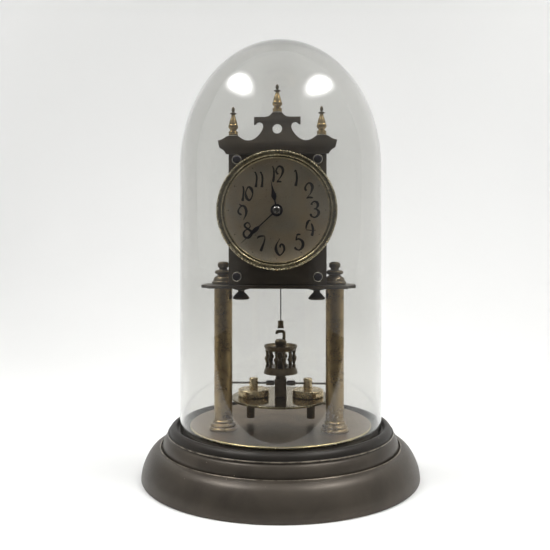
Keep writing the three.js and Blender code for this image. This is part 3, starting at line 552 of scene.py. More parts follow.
# ------------------------------------------------------------ movement frame
PXS = (-27.2, 27.2)
PZS = (144.5, 223.4)
rect = rounded([(-33, 138.7), (33, 138.7), (33, 229), (-33, 229)], 0.5, 2)
posts = [(x, z) for x in PXS for z in PZS]
fr = [ring(1.7, x, z, 16) for x, z in posts] + [ring(2.4, *B, 20), ring(0.75, *S, 12), ring(0.75, *T, 12), ring(1.7, *C, 20), ring(0.75, *E, 12), ring(0.75, *A, 12)]
bk = [ring(1.7, x, z, 16) for x, z in posts] + [ring(2.4, *B, 20), ring(0.75, *S, 12), ring(0.75, *T, 12), ring(0.75, *C, 12), ring(0.75, *E, 12), ring(1.15, *A, 14)]
make("v_front_plate", [flat([rect] + fr, -40, -38, "XZ", 0.2)], "dark", "frame", ["front_plate"])
make("v_back_plate", [flat([rect] + bk, -10, -8, "XZ", 0.2)], "dark", "frame", ["back_plate"])
for x in PXS:
    for z in PZS:
        nm = ("upper" if z > 200 else "lower") + "_" + ("left" if x < 0 else "right")
        make(f"v_plate_post_{nm}", [lathe(soft([(0, -43.2), (1.5, -43.2), (1.5, -37.7), (3, -37.7), (3, -36.6), (2.5, -36.0), (2.5, -12.0), (3, -11.4), (3, -10.3), (1.5, -10.3), (1.5, -7.2), (0, -7.2)], 0.2, 2),
             "Y", (x, 0, z), 28)], "brass", "frame", [f"plate_post_{nm}"])
        # Each nut's outer edge and a thin ring round it take the near-white rim metal: a polished edge with painted
        # reflection crescents.
        make(f"v_post_nut_{nm}", [lathe(merge_axis(soft([(1.8, -40.3), (3.3, -40.3), (3.3, -41.7), (2.75, -43.0), (1.9, -43.7), (0, -43.9), (0, -43.5), (1.8, -43.5)], 0.15, 2, True)), "Y", (x, 0, z), 32,
             closed=True, picks=lambda r, h: 1 if r > 2.7 and h < -41.6 else 0),
              lathe([(2.98 + 0.27 * cos(tau * q / 8), -42.75 + 0.27 * sin(tau * q / 8)) for q in range(8)], "Y", (x, 0, z), 32, closed=True, mi=1)],
             ["blued", "rim"], "frame", [f"post_nut_{nm}"])

# pediment with swan-neck scrolls
right = [(34.5, 227.1)] + spline([(34.5, 227.1), (35.5, 228.9), (37.0, 230.3), (38.8, 231.3)], 4)[1:] + [(39.3, 233.0), (39.95, 236.4)] + \
    spline([(39.95, 236.4), (38.4, 236.7), (36.2, 237.6), (34.3, 238.9), (32.9, 239.5)], 4)[1:] + [(26.5, 239.5)] + \
    spline([(26.5, 239.5), (24.5, 238.0), (21.8, 236.55), (18.7, 236.2), (15.4, 237.3), (12.5, 239.7), (10.4, 242.7), (9.5, 245.3), (9.9, 247.3), (11.5, 248.25), (13.3, 248.0), (14.3, 246.9)], 4)[1:] + \
    [(15.6, 246.75), (15.6, 251.9), (7.9, 251.9)] + spline([(7.9, 251.9), (6.1, 252.4), (4.5, 253.4), (3.3, 254.9)], 4)[1:]
ped = right + [(-x, z) for x, z in reversed(right)]
make("v_pediment", [flat([ped, ring(3.2, 0, 243.9, 32)], -42.3, -40.3, "XZ", 0.15)], "dark", "frame", ["pediment"])


def finial(name, x, z0, h):
    k = h / 19
    p = [(0, z0), (3.15, z0), (3.2, z0 + 0.5 * k)] + spline([(3.0, z0 + 1.0 * k), (3.25, z0 + 1.6 * k), (3.1, z0 + 2.3 * k), (2.3, z0 + 2.9 * k)], 3) + \
        [(2.1, z0 + 3.3 * k)] + spline([(2.3, z0 + 3.8 * k), (3.1, z0 + 4.7 * k), (3.35, z0 + 5.8 * k), (3.05, z0 + 6.9 * k)], 3) + \
        spline([(2.75, z0 + 7.2 * k), (2.8, z0 + 7.8 * k), (2.35, z0 + 9.6 * k), (1.5, z0 + 12.0 * k), (1.1, z0 + 13.7 * k)], 4) + \
        [(2.2, z0 + 14.2 * k), (2.3, z0 + 14.6 * k), (1.3, z0 + 15.0 * k), (0.8, z0 + 15.4 * k)] + \
        spline([(0.85, z0 + 15.8 * k), (1.15, z0 + 16.8 * k), (0.95, z0 + 18.0 * k), (0.5, z0 + 18.8 * k), (0, z0 + 19 * k)], 3)
    make(f"v_{name}", [lathe(merge_axis(p), c=(x, -41.3, 0), seg=36, picks=lambda r, h_: 1 if h_ > z0 + 13.9 * k else 0)], ["bright", "brass_dark"], "frame", [name])


finial("finial_centre", 0, 255.2, 18.6)
finial("finial_left", -29.6, 239.8, 19.1)
finial("finial_right", 29.6, 239.8, 19.1)

# ------------------------------------------------------------ dial and numerals
def dish(r):
    """How far the dial face comes forward towards its rim."""
    return 0.0098 * max(0.0, r - 24.5) ** 2


dprof = [(3.4, -46.0), (10, -46.0), (18, -46.0)] + [(24 + 0.7 * i, -46.0 - dish(24 + 0.7 * i)) for i in range(15)] + [(34.5, -46.0 - dish(34.5)), (35.2, -46.6), (36.2, -46.0), (36.2, -45.2), (3.4, -45.2)]
make("v_dial", [lathe(dprof, "Y", (0, 0, CZ), 128, closed=True)], "dial", "frame", ["dial"])


def ribbon(pts, cx, cz, y0=-0.06, y1=0.1, per=7):
    """Painted stroke of changing width; each point is x, z, half width."""
    q = spline([(cx + p[0], cz + p[1], p[2]) for p in pts], per)
    L, R = [], []
    for i, (x, z, w) in enumerate(q):
        a, b = q[max(i - 1, 0)], q[min(i + 1, len(q) - 1)]
        d = Vector((b[0] - a[0], b[1] - a[1]))
        d = d.normalized() if d.length > 1e-9 else Vector((1, 0))
        e = min(i, len(q) - 1 - i)
        w = max(w * 1.25 + 0.04, 0.1) * (0.55, 0.85, 1)[min(e, 2)]
        L.append((x - d.y * w, z + d.x * w))
        R.append((x + d.y * w, z - d.x * w))
    verts, faces, m = [], [], len(q)
    for (lx, lz), (rx, rz) in zip(L, R):
        dl, dr = (-46 - dish(math.hypot(qx, qz - CZ)) for qx, qz in ((lx, lz), (rx, rz)))
        verts += [(lx, dl + y0, lz), (rx, dr + y0, rz), (lx, dl + y1, lz), (rx, dr + y1, rz)]
    for i in range(m - 1):
        k, j = 4 * i, 4 * (i + 1)
        faces += [[k, k + 1, j + 1, j], [k + 2, j + 2, j + 3, k + 3], [k, j, j + 2, k + 2], [k + 1, k + 3, j + 3, j + 1]]
    faces += [[0, 2, 3, 1], [4 * m - 4, 4 * m - 3, 4 * m - 1, 4 * m - 2]]
    return verts, faces, 0


G = {
    "1": [[(-0.9, 4.3, .2), (-0.3, 5.2, .3), (0.2, 4.9, .38), (0.8, 1.5, .48), (0.6, -2, .55), (-0.1, -5.2, .78)]],
    "2": [[(-1.0, .2, .5), (-1.9, 1, .55), (-1.9, 2.6, .45), (-.8, 4.5, .35), (.7, 5.3, .4), (2.2, 4.2, .7), (2.8, 2.4, .75), (2.3, .3, .55), (1.3, -2, .22), (0, -3.6, .14), (-.9, -4.7, .25)],
          [(-1.2, -5, .28), (.2, -4.3, .48), (2.5, -4.5, .46), (3.0, -4.9, .2)]],
    "3": [[(-1.9, 3, .6), (-1.6, 4.3, .35), (.2, 5.3, .4), (1.9, 4.3, .62), (2.2, 2.4, .62), (1.3, 1, .3), (-.5, .2, .2)],
          [(-.2, .4, .2), (1.6, 0, .4), (2.8, -1.6, .72), (2.4, -3.6, .62), (.6, -5.2, .4), (-1.3, -4.9, .4), (-2.4, -3.7, .55), (-1.9, -3, .45)]],
    "4": [[(-.2, 4.7, .3), (-1.1, 4.9, .4), (-2.1, 3.8, .62), (-2.9, 1.5, .45), (-3.2, -.8, .22)], [(-3.3, -1.2, .16), (.3, -1.6, .18), (3.4, -1.5, .15)],
          [(.3, 3.1, .3), (1.3, .2, .6), (1.3, -2.9, .62), (.6, -5.3, .78)]],
    "5": [[(-1.2, 4.8, .35), (.2, 5.2, .5), (1.6, 5.1, .3)], [(-.8, 4.7, .3), (-1.5, 1.6, .35)],
          [(-1.7, 1.3, .3), (.3, 2.2, .45), (2.4, .9, .65), (3.2, -1.4, .76), (2.3, -3.9, .62), (.4, -5.2, .36), (-1.4, -4.5, .5), (-2.4, -3.3, .55)]],
    "6": [[(.2, 5.6, .12), (-1, 3.6, .2), (-2.3, 1, .45), (-2.5, -1.8, .76), (-1.4, -4.2, .62), (.1, -5.6, .42), (1.8, -4.2, .3), (3, -1.9, .5), (2.6, .6, .6), (1.2, 1.8, .45), (.3, .8, .5), (.4, -.6, .3)]],
    "7": [[(-2.4, 3.2, .3), (-1.6, 4.4, .5), (.6, 4.9, .45), (2.6, 4.9, .16)], [(2.6, 4.9, .16), (2.2, 1.5, .35), (1, -2, .6), (-.3, -5.2, .8)]],
    "8": [[(1.7, 3.9, .2), (.2, 5.2, .35), (-1.6, 4.2, .45), (-1.7, 2.6, .5), (.4, .9, .5), (2.5, -.8, .6), (2.9, -2.8, .45), (.9, -5, .42), (-1.6, -4.4, .56), (-2.6, -2.2, .5), (-1.6, -.2, .35), (.3, 1, .25), (1.7, 2.2, .25), (1.7, 3.9, .2)]],
    "9": [[(-.1, -1.8, .5), (-1.6, -1.2, .5), (-2.5, .4, .45), (-1.6, 2.6, .35), (0, 4.1, .4), (1.9, 3.4, .6), (2.9, 1, .72), (2.7, -1.8, .5), (1.5, -4.3, .2), (1, -5.5, .12)], [(-1.9, 5.4, .2), (-.9, 4.5, .3), (.2, 4.2, .3)]],
    "10": [[(-3.1, 5, .2), (-2.6, 4.8, .35), (-2.2, 2.5, .45), (-2.5, -1.5, .5), (-3, -4.8, .76)],
           [(1.1, 5, .4), (3, 3.2, .76), (3.8, .2, .3), (2.9, -2.8, .3), (1.4, -4.2, .5), (-.3, -2.4, .72), (-.9, .6, .35), (-.1, 3.2, .3), (1.1, 5, .4)]],
    "11": [[(-2.9, 4.6, .2), (-2.3, 5, .3), (-1.4, 2, .45), (-1.6, -2, .5), (-2, -5, .76)], [(.8, 4.6, .2), (1.4, 5, .3), (2.4, 2, .5), (2.3, -2, .52), (1.9, -5, .8)]],
    "12": [[(-3.6, 5, .2), (-3.1, 5.2, .28), (-2.4, 3, .4), (-2.4, -1.5, .55), (-2.9, -5, .66)],
           [(.7, .2, .48), (-.6, 1.2, .45), (-.9, 2.6, .4), (0, 4.6, .35), (1.5, 5.5, .45), (3.3, 4.2, .7), (3.6, 2, .66), (2.6, -.8, .4), (1, -3.2, .2), (-.3, -4.6, .28)],
           [(-.6, -5, .34), (1, -4.7, .48), (2.7, -4.9, .4)]],
}
NC = {"12": (0.4, 23.8), "1": (12.5, 21.1), "2": (20.8, 12.8), "3": (24.9, 0.5), "4": (22.5, -11.8), "5": (14.2, -21.3), "6": (1.9, -24.4), "7": (-10.5, -22.1),
      "8": (-19.6, -13.4), "9": (-23.3, -1.1), "10": (-19.9, 10.9), "11": (-12.0, 20.3)}
parts = []
for k, (cx, cz) in NC.items():
    for st in G[k]:
        parts.append(ribbon(st, cx, CZ + cz))
for i in range(12):
    a = tau * i / 12
    parts.append(barY(0.36, -46 - dish(32.3) - 0.1, -46, 32.3 * sin(a), CZ + 32.3 * cos(a), 12, 0.03))
make("v_numerals", parts, "ink", "frame")

# bezel: inner lip, cove, and a twisted rope edge
bz = [(34.6, -46.38), (34.5, -46.9), (34.8, -47.3), (35.2, -47.3), (35.5, -46.95), (36.0, -46.9)] + \
    spline([(36.2, -47.2), (36.3, -47.9), (36.7, -48.25), (37.1, -48.2)], 3) + spline([(37.4, -47.95), (38.0, -47.8), (38.6, -48.05), (38.9, -48.5)], 3) + \
    [(39.2, -48.2), (39.6, -47.6), (39.8, -46.9), (39.4, -46.3), (38.2, -45.5), (38.2, -42.6), (36.7, -42.6), (36.7, -46.38)]
rope = []
NR, n1, n2 = 112, 112 * 8, 12
rv, rf = [], []
for i in range(n1):
    u = tau * i / n1
    for j in range(n2):
        v = tau * j / n2
        r = 0.42 + 0.24 * cos(NR * u + 2 * v)
        rr = 39.5 + r * cos(v)
        rv.append((rr * cos(u), -48.55 + r * sin(v), CZ + rr * sin(u)))
for i in range(n1):
    for j in range(n2):
        i2, j2 = (i + 1) % n1, (j + 1) % n2
        rf.append([i * n2 + j, i2 * n2 + j, i2 * n2 + j2, i * n2 + j2])
make("v_bezel", [lathe(bz, "Y", (0, 0, CZ), 160, closed=True, picks=lambda r, h: 1 if (r < 35.25 and h < -46.8) or (36.2 < r < 37.0 and h < -47.9) else 0), (rv, rf, 2)],
     ["bezel", "bezel_line", "rope"], "frame", ["bezel"], 50)


# ------------------------------------------------------------ hands
def hand(prof, deg):
    a = math.radians(deg)
    q = spline(prof, 4)
    put = lambda d, w: (d * sin(a) + w * cos(a), CZ + d * cos(a) - w * sin(a))
    return [put(d, max(w, 0.05)) for d, w in q] + [put(d, -max(w, 0.05)) for d, w in reversed(q)]


def washer(ro_, ri_, y0, y1, seg=36, mi=0):
    return lathe(soft([(ri_, y0), (ro_, y0), (ro_, y1), (ri_, y1)], 0.15, 2, True), "Y", (0, 0, CZ), seg, closed=True, mi=mi)


make("v_hour_hand", [flat([hand([(3.4, .6), (5, .45), (6.6, .5), (8.2, 1.25), (9.6, 1.7), (11.2, 1.4), (13.2, .85), (16.2, .42), (19.7, .12)], 349)], -47.9, -47.3, "XZ", 0.12),
     washer(4.1, 2.55, -47.95, -47.25)], "blued", "hour_hand_body", ["hour_hand"])
make("v_minute_hand", [flat([hand([(2.2, .55), (6, .42), (14, .36), (16, .55), (17.8, 1.3), (19.4, 1.5), (21.4, 1.15), (24, .55), (27, .3), (32.3, .12)], 227)], -49.2, -48.6, "XZ", 0.12),
     washer(2.9, 1.05, -49.25, -48.55)], "blued", "minute_hand_body", ["minute_hand"])
make("v_hand_nut", [lathe(soft([(1.05, -49.5), (2.5, -49.5), (2.5, -50.3), (1.8, -50.9), (1.05, -50.9)], 0.12, 2, True), "Y", (0, 0, CZ), 36, closed=True)], "steel", "minute_hand_body", ["hand_nut"])


# ------------------------------------------------------------ gears
def wheel_pts(n_, m, x, z, ph):
    rp, out = m * n_ / 2, []
    for i in range(n_):
        a = ph + tau * i / n_
        st = tau / n_
        for r, k in ((rp - 1.0 * m, -.30), (rp, -.22), (rp + .6 * m, -.12), (rp + .85 * m, 0), (rp + .6 * m, .12), (rp, .22), (rp - 1.0 * m, .30)):
            out.append((x + r * cos(a + k * st), z + r * sin(a + k * st)))
    return out


def crossings(x, z, r0, r1, n_=4, arm=1.3, ph=0.4):
    out = []
    for i in range(n_):
        a0, a1 = ph + tau * i / n_, ph + tau * (i + 1) / n_
        d0, d1 = arm / 2 / r0, arm / 2 / r1
        pts = [(x + r1 * cos(a), z + r1 * sin(a)) for a in [a0 + d1 + (a1 - a0 - 2 * d1) * k / 8 for k in range(9)]]
        pts += [(x + r0 * cos(a), z + r0 * sin(a)) for a in [a1 - d0 - (a1 - a0 - 2 * d0) * k / 4 for k in range(5)]]
        out.append(pts)
    return out


def pinion_pts(n_, m, x, z, ph):
    rp, st, out = m * n_ / 2, tau / n_, []
    for i in range(n_):
        a = ph + st * i
        for r, w in ((rp - 1.1 * m, -.17), (rp + .3 * m, -.11), (rp + .5 * m, -.05), (rp + .5 * m, .05), (rp + .3 * m, .11), (rp - 1.1 * m, .17)):
            out.append((x + r * cos(a + w * st), z + r * sin(a + w * st)))
    return out


def arbor(x, z, r=0.8, y0=-39.8, y1=-7.8):
    return lathe(soft([(0, y0), (.6, y0), (.6, -37.7), (r, -37.7), (r, -10.3), (.6, -10.3), (.6, y1), (0, y1)], 0.1, 2), "Y", (x, 0, z), 16, mi=1)


mesh_ph = lambda nq, P, Q: direc(Q, P) + pi / nq
phC, phT, phS, phB = direc(C, E), direc(T, C), direc(S, T), direc(B, S)
rpC = M_CE * 30
make("v_centre_wheel", [lathe(soft([(0, -51.1), (.8, -51.1), (.8, -10.3), (.6, -10.3), (.6, -7.7), (0, -7.7)], .12, 2), "Y", (C[0], 0, C[1]), 20, mi=1),
     flat([pinion_pts(LEAVES, M_TC, *C, mesh_ph(LEAVES, T, C))], -14.05, -11.4, "XZ", .03, 1),
     flat([wheel_pts(60, M_CE, *C, phC)] + crossings(*C, 2.6, rpC - 2.6), -15.2, -14.3, "XZ", .04)], ["wheel", "steel"], "minute_hand_body", ["centre_wheel"])
phK = direc(C, MW)
make("v_cannon_pinion", [lathe(soft([(1.1, -48.3), (1.55, -48.3), (1.55, -40.6), (1.1, -40.6)], .08, 2, True), "Y", (C[0], 0, C[1]), 24, closed=True),
     flat([pinion_pts(10, M_CM, *C, phK + pi / 10), ring(1.1, *C, 24)], -42.2, -40.6, "XZ", .03)], "steel", "minute_hand_body", ["cannon_pinion"])
make("v_minute_wheel", [flat([wheel_pts(30, M_CM, *MW, direc(MW, C)), ring(.95, *MW, 16)], -41.7, -40.9, "XZ", .04),
     flat([pinion_pts(8, M_MH, *MW, direc(MW, C) + pi / 8), ring(.95, *MW, 16)], -43.7, -41.7, "XZ", .03)], "wheel", "minute_wheel_body", ["minute_wheel"])
make("v_minute_stud", [lathe(soft([(0, -44.6), (1.5, -44.6), (1.5, -44), (.75, -44), (.75, -40.3), (0, -40.3)], .1, 2), "Y", (MW[0], 0, MW[1]), 20)], "steel", "frame", ["minute_stud"])
make("v_hour_wheel", [flat([wheel_pts(32, M_MH, *C, direc(C, MW)), ring(1.85, *C, 24)], -43.4, -42.6, "XZ", .04),
     lathe(soft([(1.85, -48.1), (2.45, -48.1), (2.45, -42.6), (1.85, -42.6)], .1, 2, True), "Y", (C[0], 0, C[1]), 28, closed=True)], "wheel", "hour_hand_body", ["hour_wheel"])

# barrel, mainspring, winding
make("v_barrel", [lathe(soft([(15.3, -34.4), (16.4, -34.4), (16.4, -17.2), (2.4, -17.2), (2.4, -18.4), (15.3, -18.4)], .25, 2, True), "Y", (B[0], 0, B[1]), 72, closed=True),
     flat([wheel_pts(72, M_BS, *B, phB), ring(2.4, *B, 24)], -17.2, -15.9, "XZ", .05),
     lathe(soft([(2.4, -15.9), (4, -15.9), (4, -14.6), (2.4, -14.6)], .15, 2, True), "Y", (B[0], 0, B[1]), 32, closed=True)], "wheel", "barrel_body", ["barrel"])
make("v_barrel_cover", [lathe(soft([(2.4, -34.4), (14.7, -34.4), (14.7, -33.2), (2.4, -33.2)], .2, 2, True), "Y", (B[0], 0, B[1]), 60, closed=True)], "wheel", "barrel_body", ["barrel_cover"])
inner, outer = [], []
for i in range(4 * 24 + 1):
    a, r = tau * i / 24, 4.6 + 9.8 * i / 96
    inner.append((B[0] + (r - .35) * cos(a), B[1] + (r - .35) * sin(a)))
    outer.append((B[0] + (r + .35) * cos(a), B[1] + (r + .35) * sin(a)))
make("v_mainspring", [flat([outer + inner[::-1]], -32.6, -19, "XZ", .05)], "steel", "barrel_body", ["mainspring"])
make("v_winding_arbor", [lathe(soft([(0, -39.6), (2.2, -39.6), (2.2, -32.9), (3.6, -32.9), (3.6, -18.7), (2.2, -18.7), (2.2, -6.3), (0, -6.3)], .15, 2), "Y", (B[0], 0, B[1]), 28),
     block(B[0] - 1.5, B[0] + 1.5, -6.5, 3.2, B[1] - 1.5, B[1] + 1.5, .25)], "steel", "winding_body", ["winding_arbor"])
rt = []
for i in range(20):
    a = tau * i / 20
    rt += [(B[0] + 8 * cos(a), B[1] + 8 * sin(a)), (B[0] + 6.7 * cos(a + .03), B[1] + 6.7 * sin(a + .03)), (B[0] + 7.2 * cos(a + .17), B[1] + 7.2 * sin(a + .17))]
make("v_ratchet_wheel", [flat([rt, [(B[0] - 1.6, B[1] - 1.6), (B[0] + 1.6, B[1] - 1.6), (B[0] + 1.6, B[1] + 1.6), (B[0] - 1.6, B[1] + 1.6)]], -5.8, -4.4, "XZ", .08)],
     "steel", "winding_body", ["ratchet_wheel"])
K = (B[0] + 10.6, B[1] + 7.2)
ck = [(K[0] - 2.2, K[1] - 1.6), (K[0] + 1.6, K[1] - 1.9), (K[0] + 2.2, K[1] + .6), (K[0] + .8, K[1] + 2.2), (K[0] - 1.4, K[1] + 2.2), (K[0] - 5.4, K[1] + 1.3), (K[0] - 6.05, K[1] - .15), (K[0] - 4.6, K[1] - .6)]
make("v_click", [flat([rounded(ck, .35, 2), ring(1.15, *K, 16)], -5.8, -4.4, "XZ", .12)], "steel", "click_body", ["click"])
make("v_click_screw", [lathe(soft([(0, -7.7), (1, -7.7), (1, -4.1), (1.9, -4.1), (1.9, -3.1), (0, -3.1)], .12, 2), "Y", (K[0], 0, K[1]), 24)], "steel", "frame", ["click_screw"])
cs = [(K[0] + 4.4, K[1] + 10.5), (K[0] + 6.6, K[1] + 10.5), (K[0] + 6.6, K[1] + 13.2), (K[0] + 4.0, K[1] + 13.2), (K[0] - 4.6, K[1] + 3.1), (K[0] - 4.0, K[1] + 2.7)]
make("v_click_spring", [flat([cs], -5.5, -4.7, "XZ", .06), lathe(soft([(0, -7.7), (1.8, -7.7), (1.8, -3.9), (0, -3.9)], .12, 2), "Y", (K[0] + 5.3, 0, K[1] + 11.9), 24)],
     "steel", "frame", ["click_spring"])

# train
rpS, rpT = M_ST * 33, M_TC * 30
make("v_second_wheel", [arbor(*S), flat([pinion_pts(LEAVES, M_BS, *S, mesh_ph(LEAVES, B, S))], -18.2, -14.9, "XZ", .03, 1),
     flat([wheel_pts(66, M_ST, *S, phS)] + crossings(*S, 2.6, rpS - 2.4), -36.6, -35.6, "XZ", .04)], ["wheel", "steel"], "second_body", ["second_wheel"])
make("v_third_wheel", [arbor(*T), flat([pinion_pts(LEAVES, M_ST, *T, mesh_ph(LEAVES, S, T))], -37.2, -34.8, "XZ", .03, 1),
     flat([wheel_pts(60, M_TC, *T, phT)] + crossings(*T, 2.4, rpT - 2.2), -13.3, -12.4, "XZ", .04)], ["wheel", "steel"], "third_body", ["third_wheel"])
et = []
for i in range(24):
    a = pi / 2 + tau * (i + .5) / 24
    et += [(E[0] + 9 * cos(a), E[1] + 9 * sin(a)), (E[0] + 7.1 * cos(a + .05), E[1] + 7.1 * sin(a + .05)), (E[0] + 7.1 * cos(a + .2), E[1] + 7.1 * sin(a + .2))]
make("v_escape_wheel", [arbor(*E), flat([pinion_pts(LEAVES, M_CE, *E, mesh_ph(LEAVES, C, E))], -15.9, -13.7, "XZ", .03, 1),
     flat([et] + crossings(*E, 2.2, 5.9, 4, 1.1), -22.2, -21.4, "XZ", .04)], ["wheel", "steel"], "escape_body", ["escape_wheel"])
ang = math.radians(46)
px, pz = 9.7 * sin(ang), E[1] + 9.7 * cos(ang)
an = [(0, A[1] - 1.4), (px * .6, A[1] - 2.2), (px - .1, pz + .1), (px + 1.2, pz - .9), (px + 1.5, pz + 1.4), (px * .7, A[1] + .4), (0, A[1] + 1.4)]
an = an + [(-x, z) for x, z in reversed(an[1:-1])]
make("v_anchor", [lathe(soft([(0, -39.8), (.6, -39.8), (.6, -37.7), (1.3, -37.7), (1.3, -10.3), (.6, -10.3), (.6, -6.9), (1.8, -6.9), (1.8, -3.4), (0, -3.4)], .1, 2), "Y", (A[0], 0, A[1]), 20),
     flat([rounded(an, .3, 2)], -22.4, -21.2, "XZ", .08), barZ(.45, A[1], 225.2, 0, -4.6, 12, .1)], "steel", "anchor_body", ["anchor"])

# ------------------------------------------------------------ suspension
FZ = 223.4
make("v_suspension_bracket", [flat([rounded([(-7, 217.9), (7, 217.9), (7, 233.6), (-7, 233.6)], .6, 2)], -7.7, -6.1, "XZ", .2),
     block(-7, -4.6, -7.7, 3.4, 229.6, 233.6, .3), block(4.6, 7, -7.7, 3.4, 229.6, 233.6, .3),
     barY(1.5, -6.3, -5.2, -4.6, 224, 20), barY(1.5, -6.3, -5.2, 4.6, 224, 20)], "brass", "frame", ["suspension_bracket"])
make("v_top_block", [block(-4.3, 4.3, -1.6, -.35, 227, 233.4, .2), block(-4.3, 4.3, .35, 1.6, 227, 233.4, .2), block(-4.3, -1.6, -.5, .5, 227.2, 233.2, .1), block(1.6, 4.3, -.5, .5, 227.2, 233.2, .1),
     barY(1.0, -2.0, 2.0, -3.0, 230.2, 16), barY(1.0, -2.0, 2.0, 3.0, 230.2, 16)], "brass", "frame", ["top_block"])
make("v_fork", [block(-2.4, -1.15, -1.5, 1.5, FZ - 1.1, FZ + 1.1, .15), block(1.15, 2.4, -1.5, 1.5, FZ - 1.1, FZ + 1.1, .15), block(-2.3, 2.3, -1.5, -.4, FZ - 1.1, FZ + 1.1, .15), block(-2.3, 2.3, .4, 1.5, FZ - 1.1, FZ + 1.1, .15),
     block(-1.7, -.75, -5.7, -1.2, FZ - .5, FZ + .5, .12), block(.75, 1.7, -5.7, -1.2, FZ - .5, FZ + .5, .12)], "brass", "fork_body", ["fork"])
sv, sf, ns = [], [], 120
for i in range(ns + 1):
    z = 107.2 + (233 - 107.2) * i / ns
    sv += [(-.4, -.05, z), (.4, -.05, z), (.4, .05, z), (-.4, .05, z)]
for i in range(ns):
    k = 4 * i
    for j in range(4):
        j2 = (j + 1) % 4
        sf.append([k + j, k + j2, k + 4 + j2, k + 4 + j])
sf += [[0, 1, 2, 3], [4 * ns, 4 * ns + 1, 4 * ns + 2, 4 * ns + 3]]
strip = make("v_suspension_spring", [(sv, sf, 0)], "steel", None, ["suspension_spring"])
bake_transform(strip)

# ------------------------------------------------------------ pendulum
make("v_bottom_block", [lathe(soft([(1.15, 106.5), (2.1, 106.5), (2.1, 110.4), (1.15, 110.4)], .15, 2, True), seg=24, closed=True), block(-2.2, 2.2, -1.6, 1.6, 104.9, 106.8, .2)],
     "brass_dark", "pendulum", ["bottom_block"])
hook = spline([(2.35, 0, 95.5), (2.4, 0, 98), (2.45, 0, 100.6), (2.1, 0, 102.1), (.9, 0, 102.55), (-.8, 0, 102.55), (-2.3, 0, 102.45), (-2.75, 0, 101.6), (-2.75, 0, 100.7)], 5)
make("v_pendulum_stem", [sweep(hook, 1.15, 14),
     lathe(merge_axis(soft([(0, 92.4), (3.7, 92.4), (4.3, 93.4), (4.35, 94.4), (4.3, 95.6), (3.4, 96.6), (2.4, 97), (0, 97)], .4, 3)), seg=40),
     lathe(merge_axis(soft([(0, 70.2), (3.6, 70.2), (3.6, 93.2), (0, 93.2)], .2, 2)), seg=40),
     lathe(merge_axis(soft([(0, 67.6), (3.9, 68.2), (3.9, 69.0), (3.5, 69.6), (3.6, 70.4), (0, 70.4)], .25, 3)), seg=40),
     flat([rounded([(-4.15, -4.15), (4.15, -4.15), (4.15, 4.15), (-4.15, 4.15)], .35, 2)], 55.6, 68.4, "XY", .3, 0, 2)],
     "brass_dark", "pendulum", ["pendulum_stem"])
gp = [lathe(merge_axis(soft([(3.6, 88.9), (9.6, 88.7), (10.9, 89.0), (11.7, 90.6), (12.35, 92.2), (12.3, 92.55), (11.8, 92.6), (11.0, 91.0), (10.2, 90.2), (3.6, 90.1)], .25, 2, True)), seg=72, closed=True),
      lathe(merge_axis(soft([(3.6, 74.7), (10.0, 74.6), (11.5, 73.0), (12.3, 72.2), (12.4, 72.5), (12.2, 74.0), (11.2, 76.4), (10.6, 77.3), (3.6, 76.3)], .25, 2, True)), seg=72, closed=True)]
for i in range(12):
    a = tau * (i + .5) / 12
    sp = [(0, 76.4), (1.35, 76.6), (1.15, 77.6)] + spline([(.85, 78.6), (.85, 79.8), (1.25, 81.0), (1.2, 81.6), (1.75, 82.4), (1.85, 83.2), (1.65, 84.0), (1.1, 84.7), (.85, 85.8), (.95, 87.2), (1.35, 88.4)], 3) + [(1.3, 89.2), (0, 89.4)]
    gp.append(lathe(merge_axis(sp), c=(10.1 * cos(a), 10.1 * sin(a), 0), seg=14))
make("v_gallery", gp, "brass_dark", "pendulum", ["gallery"], 50)
# Painted shade: the disc's underside takes the dark bronze instead of the brass of its top, so it shows dark beneath.
make("v_pendulum_disc", [lathe(merge_axis(soft([(0, 53.8), (35.6, 53.8), (36, 54.2), (36, 55.1), (35.6, 55.4), (0, 55.4)], .25, 3)), seg=128, picks=lambda r, h: 2 if h < 53.85 else 1 if r > 35.5 else 0),
     barZ(3, 39.6, 54.5, -22, 0, 28, .3, 3), barZ(3, 39.6, 54.5, 22, 0, 28, .3, 3)], ["mirror_brass", "bezel", "dark", "brass_dark"], "pendulum", ["pendulum_disc"])
for side, s in (("left", -1), ("right", 1)):
    wp = [(0, 55.7), (11.0, 55.7), (11.4, 56.1), (11.4, 58.9), (11.2, 59.3), (11.35, 59.6), (11.3, 60.1), (10.8, 60.5), (9.4, 60.5), (9.1, 60.25), (8.8, 60.5), (3.25, 60.5), (3.25, 68.0), (2.7, 68.7), (0, 68.8)]
    make(f"v_weight_{side}", [lathe(merge_axis(soft(wp, .15, 2)), c=(s * 19.8, 0, 0), seg=64)], "weight", f"weight_{side}_body", [f"weight_{side}"])
rr_ = [(0, -36), (.7, -36)]
x = -35.9
while x < -11.0:
    rr_ += [(.85, x + .15), (.85, x + .35), (.66, x + .5)]
    x += 0.7
rr_ += [(.85, -10.7), (1.75, -10.6), (1.9, -10.3), (1.9, -4.9), (1.75, -4.6), (.85, -4.6)]
rr_ = rr_ + [(r, -h) for r, h in reversed(rr_)]
make("v_regulator_rod", [lathe(merge_axis(rr_), "X", (0, 0, 64.9), 20)], "steel", "regulator_body", ["regulator_rod"], 60)

# ------------------------------------------------------------ stage: floor, air, lights
fm, nt, out = new_mat("studio_floor")
b = node(nt, "ShaderNodeBsdfPrincipled")
tc = node(nt, "ShaderNodeTexCoord")
fc = ramp(nt, noise(nt, tc.outputs["Object"], 3.0, 3, .5), [(0.3, (0.86, 0.86, 0.85)), (0.7, (0.885, 0.885, 0.875))])
nt.links.new(fc, b.inputs["Base Color"])
b.inputs["Roughness"].default_value = 0.7
b.inputs["Specular IOR Level"].default_value = 0.2
# painted light: the paper behind glows a little more toward its right side and its upper corners, through emission in
# its material
px_ = node(nt, "ShaderNodeSeparateXYZ")
nt.links.new(tc.outputs["Object"], px_.inputs[0])


